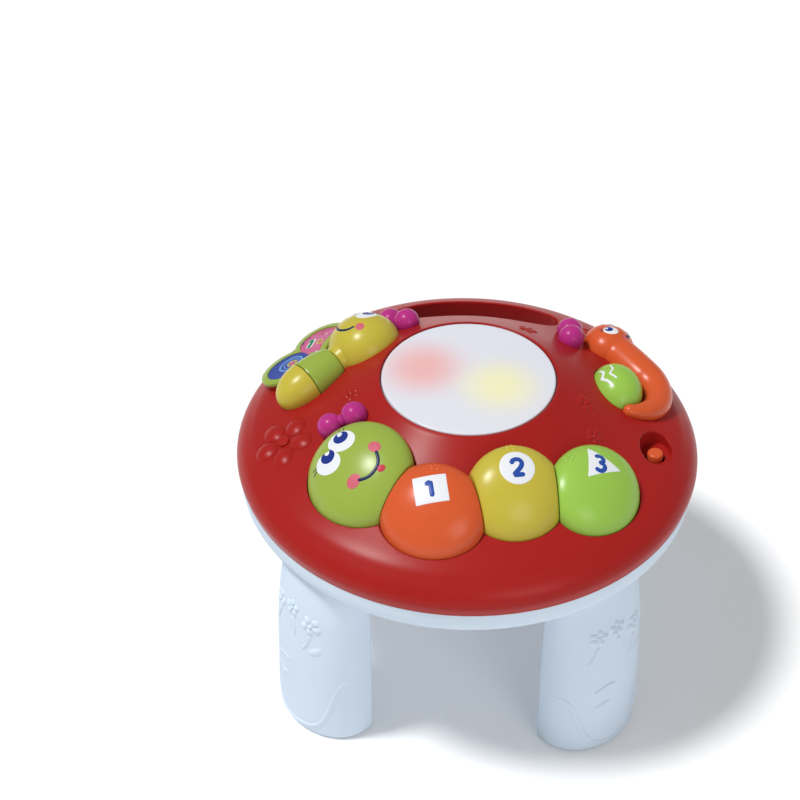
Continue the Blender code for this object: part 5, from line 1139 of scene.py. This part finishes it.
# Bows: a pair of magenta balls with a knot between them on each animal's head.
# Each is one glossy moulding with a peg pressed through the shell.
glossy_magenta = moulded_plastic("glossy_magenta_plastic", (0.47, 0.030, 0.225), 0.26, 0.18)
ball_line = egg_line(0.0086, 0.0086, 24)
for animal, first, second in (
    ("worm", (0.0918, -67.0), (0.0769, -64.6)),
    ("butterfly", (0.093, -143.5), (0.078, -146.0)),
    ("snail", (0.1014, 141.0), (0.0911, 135.0)),
):
    places = [on_dome(polar(*spot), 0.0035) for spot in (first, second)]
    bow = lathe(animal + "_bow_look", ball_line, 48, glossy_magenta, places[0])
    run = places[1].translation - places[0].translation
    knot_place = run.to_track_quat("Z", "Y").to_matrix().to_4x4()
    knot_place.translation = places[0].translation
    knot = lathe("knot", [(0, 0), (0.0043, 0), (0.0043, run.length), (0, run.length)], 32, None, knot_place)
    carve(bow, "UNION", lathe("ball", ball_line, 48, None, places[1]), knot)
    finished(bow, "housing", "magenta_plastic", animal + "_bow")


# Switch knob: a round orange cap that slides in the dish's slot on the board's slide switch.
# Its stem reaches down through the slot, and its top edge is rounded.
knob_line = [(0, 0.0195), (0.0017, 0.0195), (0.0017, 0.0228), (0.0050, 0.0228), (0.0052, 0.0230), (0.0052, 0.0262),
             (0.0050, 0.0268), (0.0045, 0.0274), (0.0038, 0.0277), (0.0030, 0.0278), (0, 0.0278)]
knob = lathe("switch_knob_look", from_seam(knob_line), 48, glossy_orange, Matrix.Translation(switch_spot))
finished(knob, "switch_knob", "orange_plastic", "switch_knob")


# Flowers on the shell: low reliefs in the red moulding itself, one large to the left of the worm
# and small ones round the disc.
shell_surface = surface_of(shell)
big_spot = polar(0.1216, -73.9)
big_place = on_dome(big_spot)
solids = [pad(shell_surface, big_place, oval(0, 0, 0.0042), 0.0016)]
for petal in range(5):
    angle = 22 + 72 * petal
    spot = (0.0128 * math.cos(math.radians(angle)), 0.0128 * math.sin(math.radians(angle)))
    solids.append(pad(shell_surface, big_place, oval(*spot, 0.0082, 0.0073, angle, 48), 0.0026, domed=True))
for reach, bearing, size, turn in (
    (0.0765, 84.0, 0.0062, 10), (0.0885, 68.5, 0.0055, 40), (0.0730, 150.0, 0.0060, 25),
    (0.1230, -136.0, 0.0062, 0), (0.1270, 141.0, 0.0058, 50), (0.0760, -82.0, 0.0055, 15),
):
    solids += blossom(shell_surface, on_dome(polar(reach, bearing)), 0, 0, size * 1.15, 0.0007, turn)
finished(cluster("shell_flowers", solids, glossy_red), "housing", "red_plastic")


# Floor, lamps and camera: a plain pale floor, soft studio light from the upper left and the
# photograph's own view from a little above the front.
floor_mesh = bpy.data.meshes.new("floor")
floor_corners = [(-6, -6, -0.0005), (6, -6, -0.0005), (6, 9, -0.0005), (-6, 9, -0.0005)]
floor_mesh.from_pydata(floor_corners, [], [(0, 1, 2, 3)])
floor = placed("floor", floor_mesh)
pale_floor = one_colour("pale_floor", (0.96, 0.96, 0.96), 0.9)
tree = pale_floor.node_tree
shader = tree.nodes["Principled BSDF"]
rays = tree.nodes.new("ShaderNodeLightPath")
seen = tree.nodes.new("ShaderNodeMath")
seen.operation = "MAXIMUM"
lifted = tree.nodes.new("ShaderNodeMath")
lifted.operation = "MULTIPLY"
lifted.inputs[1].default_value = 0.06
set_values(shader, Emission_Color=(1, 1, 1, 1))
join(tree, rays, "Is Camera Ray", seen, 0)
join(tree, rays, "Is Glossy Ray", seen, 1)
join(tree, seen, 0, lifted, 0)
join(tree, lifted, 0, shader, "Emission Strength")
floor_mesh.materials.append(pale_floor)


def soft_lamp(name, kind, spot, strength, width):
    """A lamp aimed at the table: a far sun of a given breadth in radians, or a panel of a given width."""
    lamp = bpy.data.lights.new(name, kind)
    lamp.energy = strength
    if kind == "SUN":
        lamp.angle = width
    else:
        lamp.size = width
    holder = placed(name, lamp)
    holder.location = spot
    holder.rotation_mode = "QUATERNION"
    holder.rotation_quaternion = (Vector((0, 0, 0.12)) - Vector(spot)).to_track_quat("-Z", "Y")


soft_lamp("key_lamp", "SUN", (-2.05, -0.45, 4.45), 2.3, 0.20)
soft_lamp("fill_lamp", "AREA", (1.9, -3.2, 1.9), 30, 1.8)

world = bpy.data.worlds.new("studio")
world.use_nodes = True
set_values(world.node_tree.nodes["Background"], Color=(1, 1, 1, 1), Strength=0.33)
bpy.context.scene.world = world

view_turn = math.radians(4.2)
view_rise = math.radians(39.91)
right = Vector((math.cos(view_turn), math.sin(view_turn), 0))
flat, rise = math.cos(view_rise), math.sin(view_rise)
back = Vector((math.sin(view_turn) * flat, -math.cos(view_turn) * flat, rise))
above = Vector((-math.sin(view_turn) * rise, math.cos(view_turn) * rise, flat))
lens = bpy.data.cameras.new("photo_camera")
lens.lens = 101.86
lens.sensor_width = 36.0
camera = placed("photo_camera", lens)
camera.rotation_mode = "QUATERNION"
camera.rotation_quaternion = (-back).to_track_quat("-Z", "Y")
camera.location = Vector((0, 0, seam_height)) + back * 1.5 - right * 0.04415 + above * 0.03607
bpy.context.scene.camera = camera
bpy.context.scene.view_settings.view_transform = "Standard"
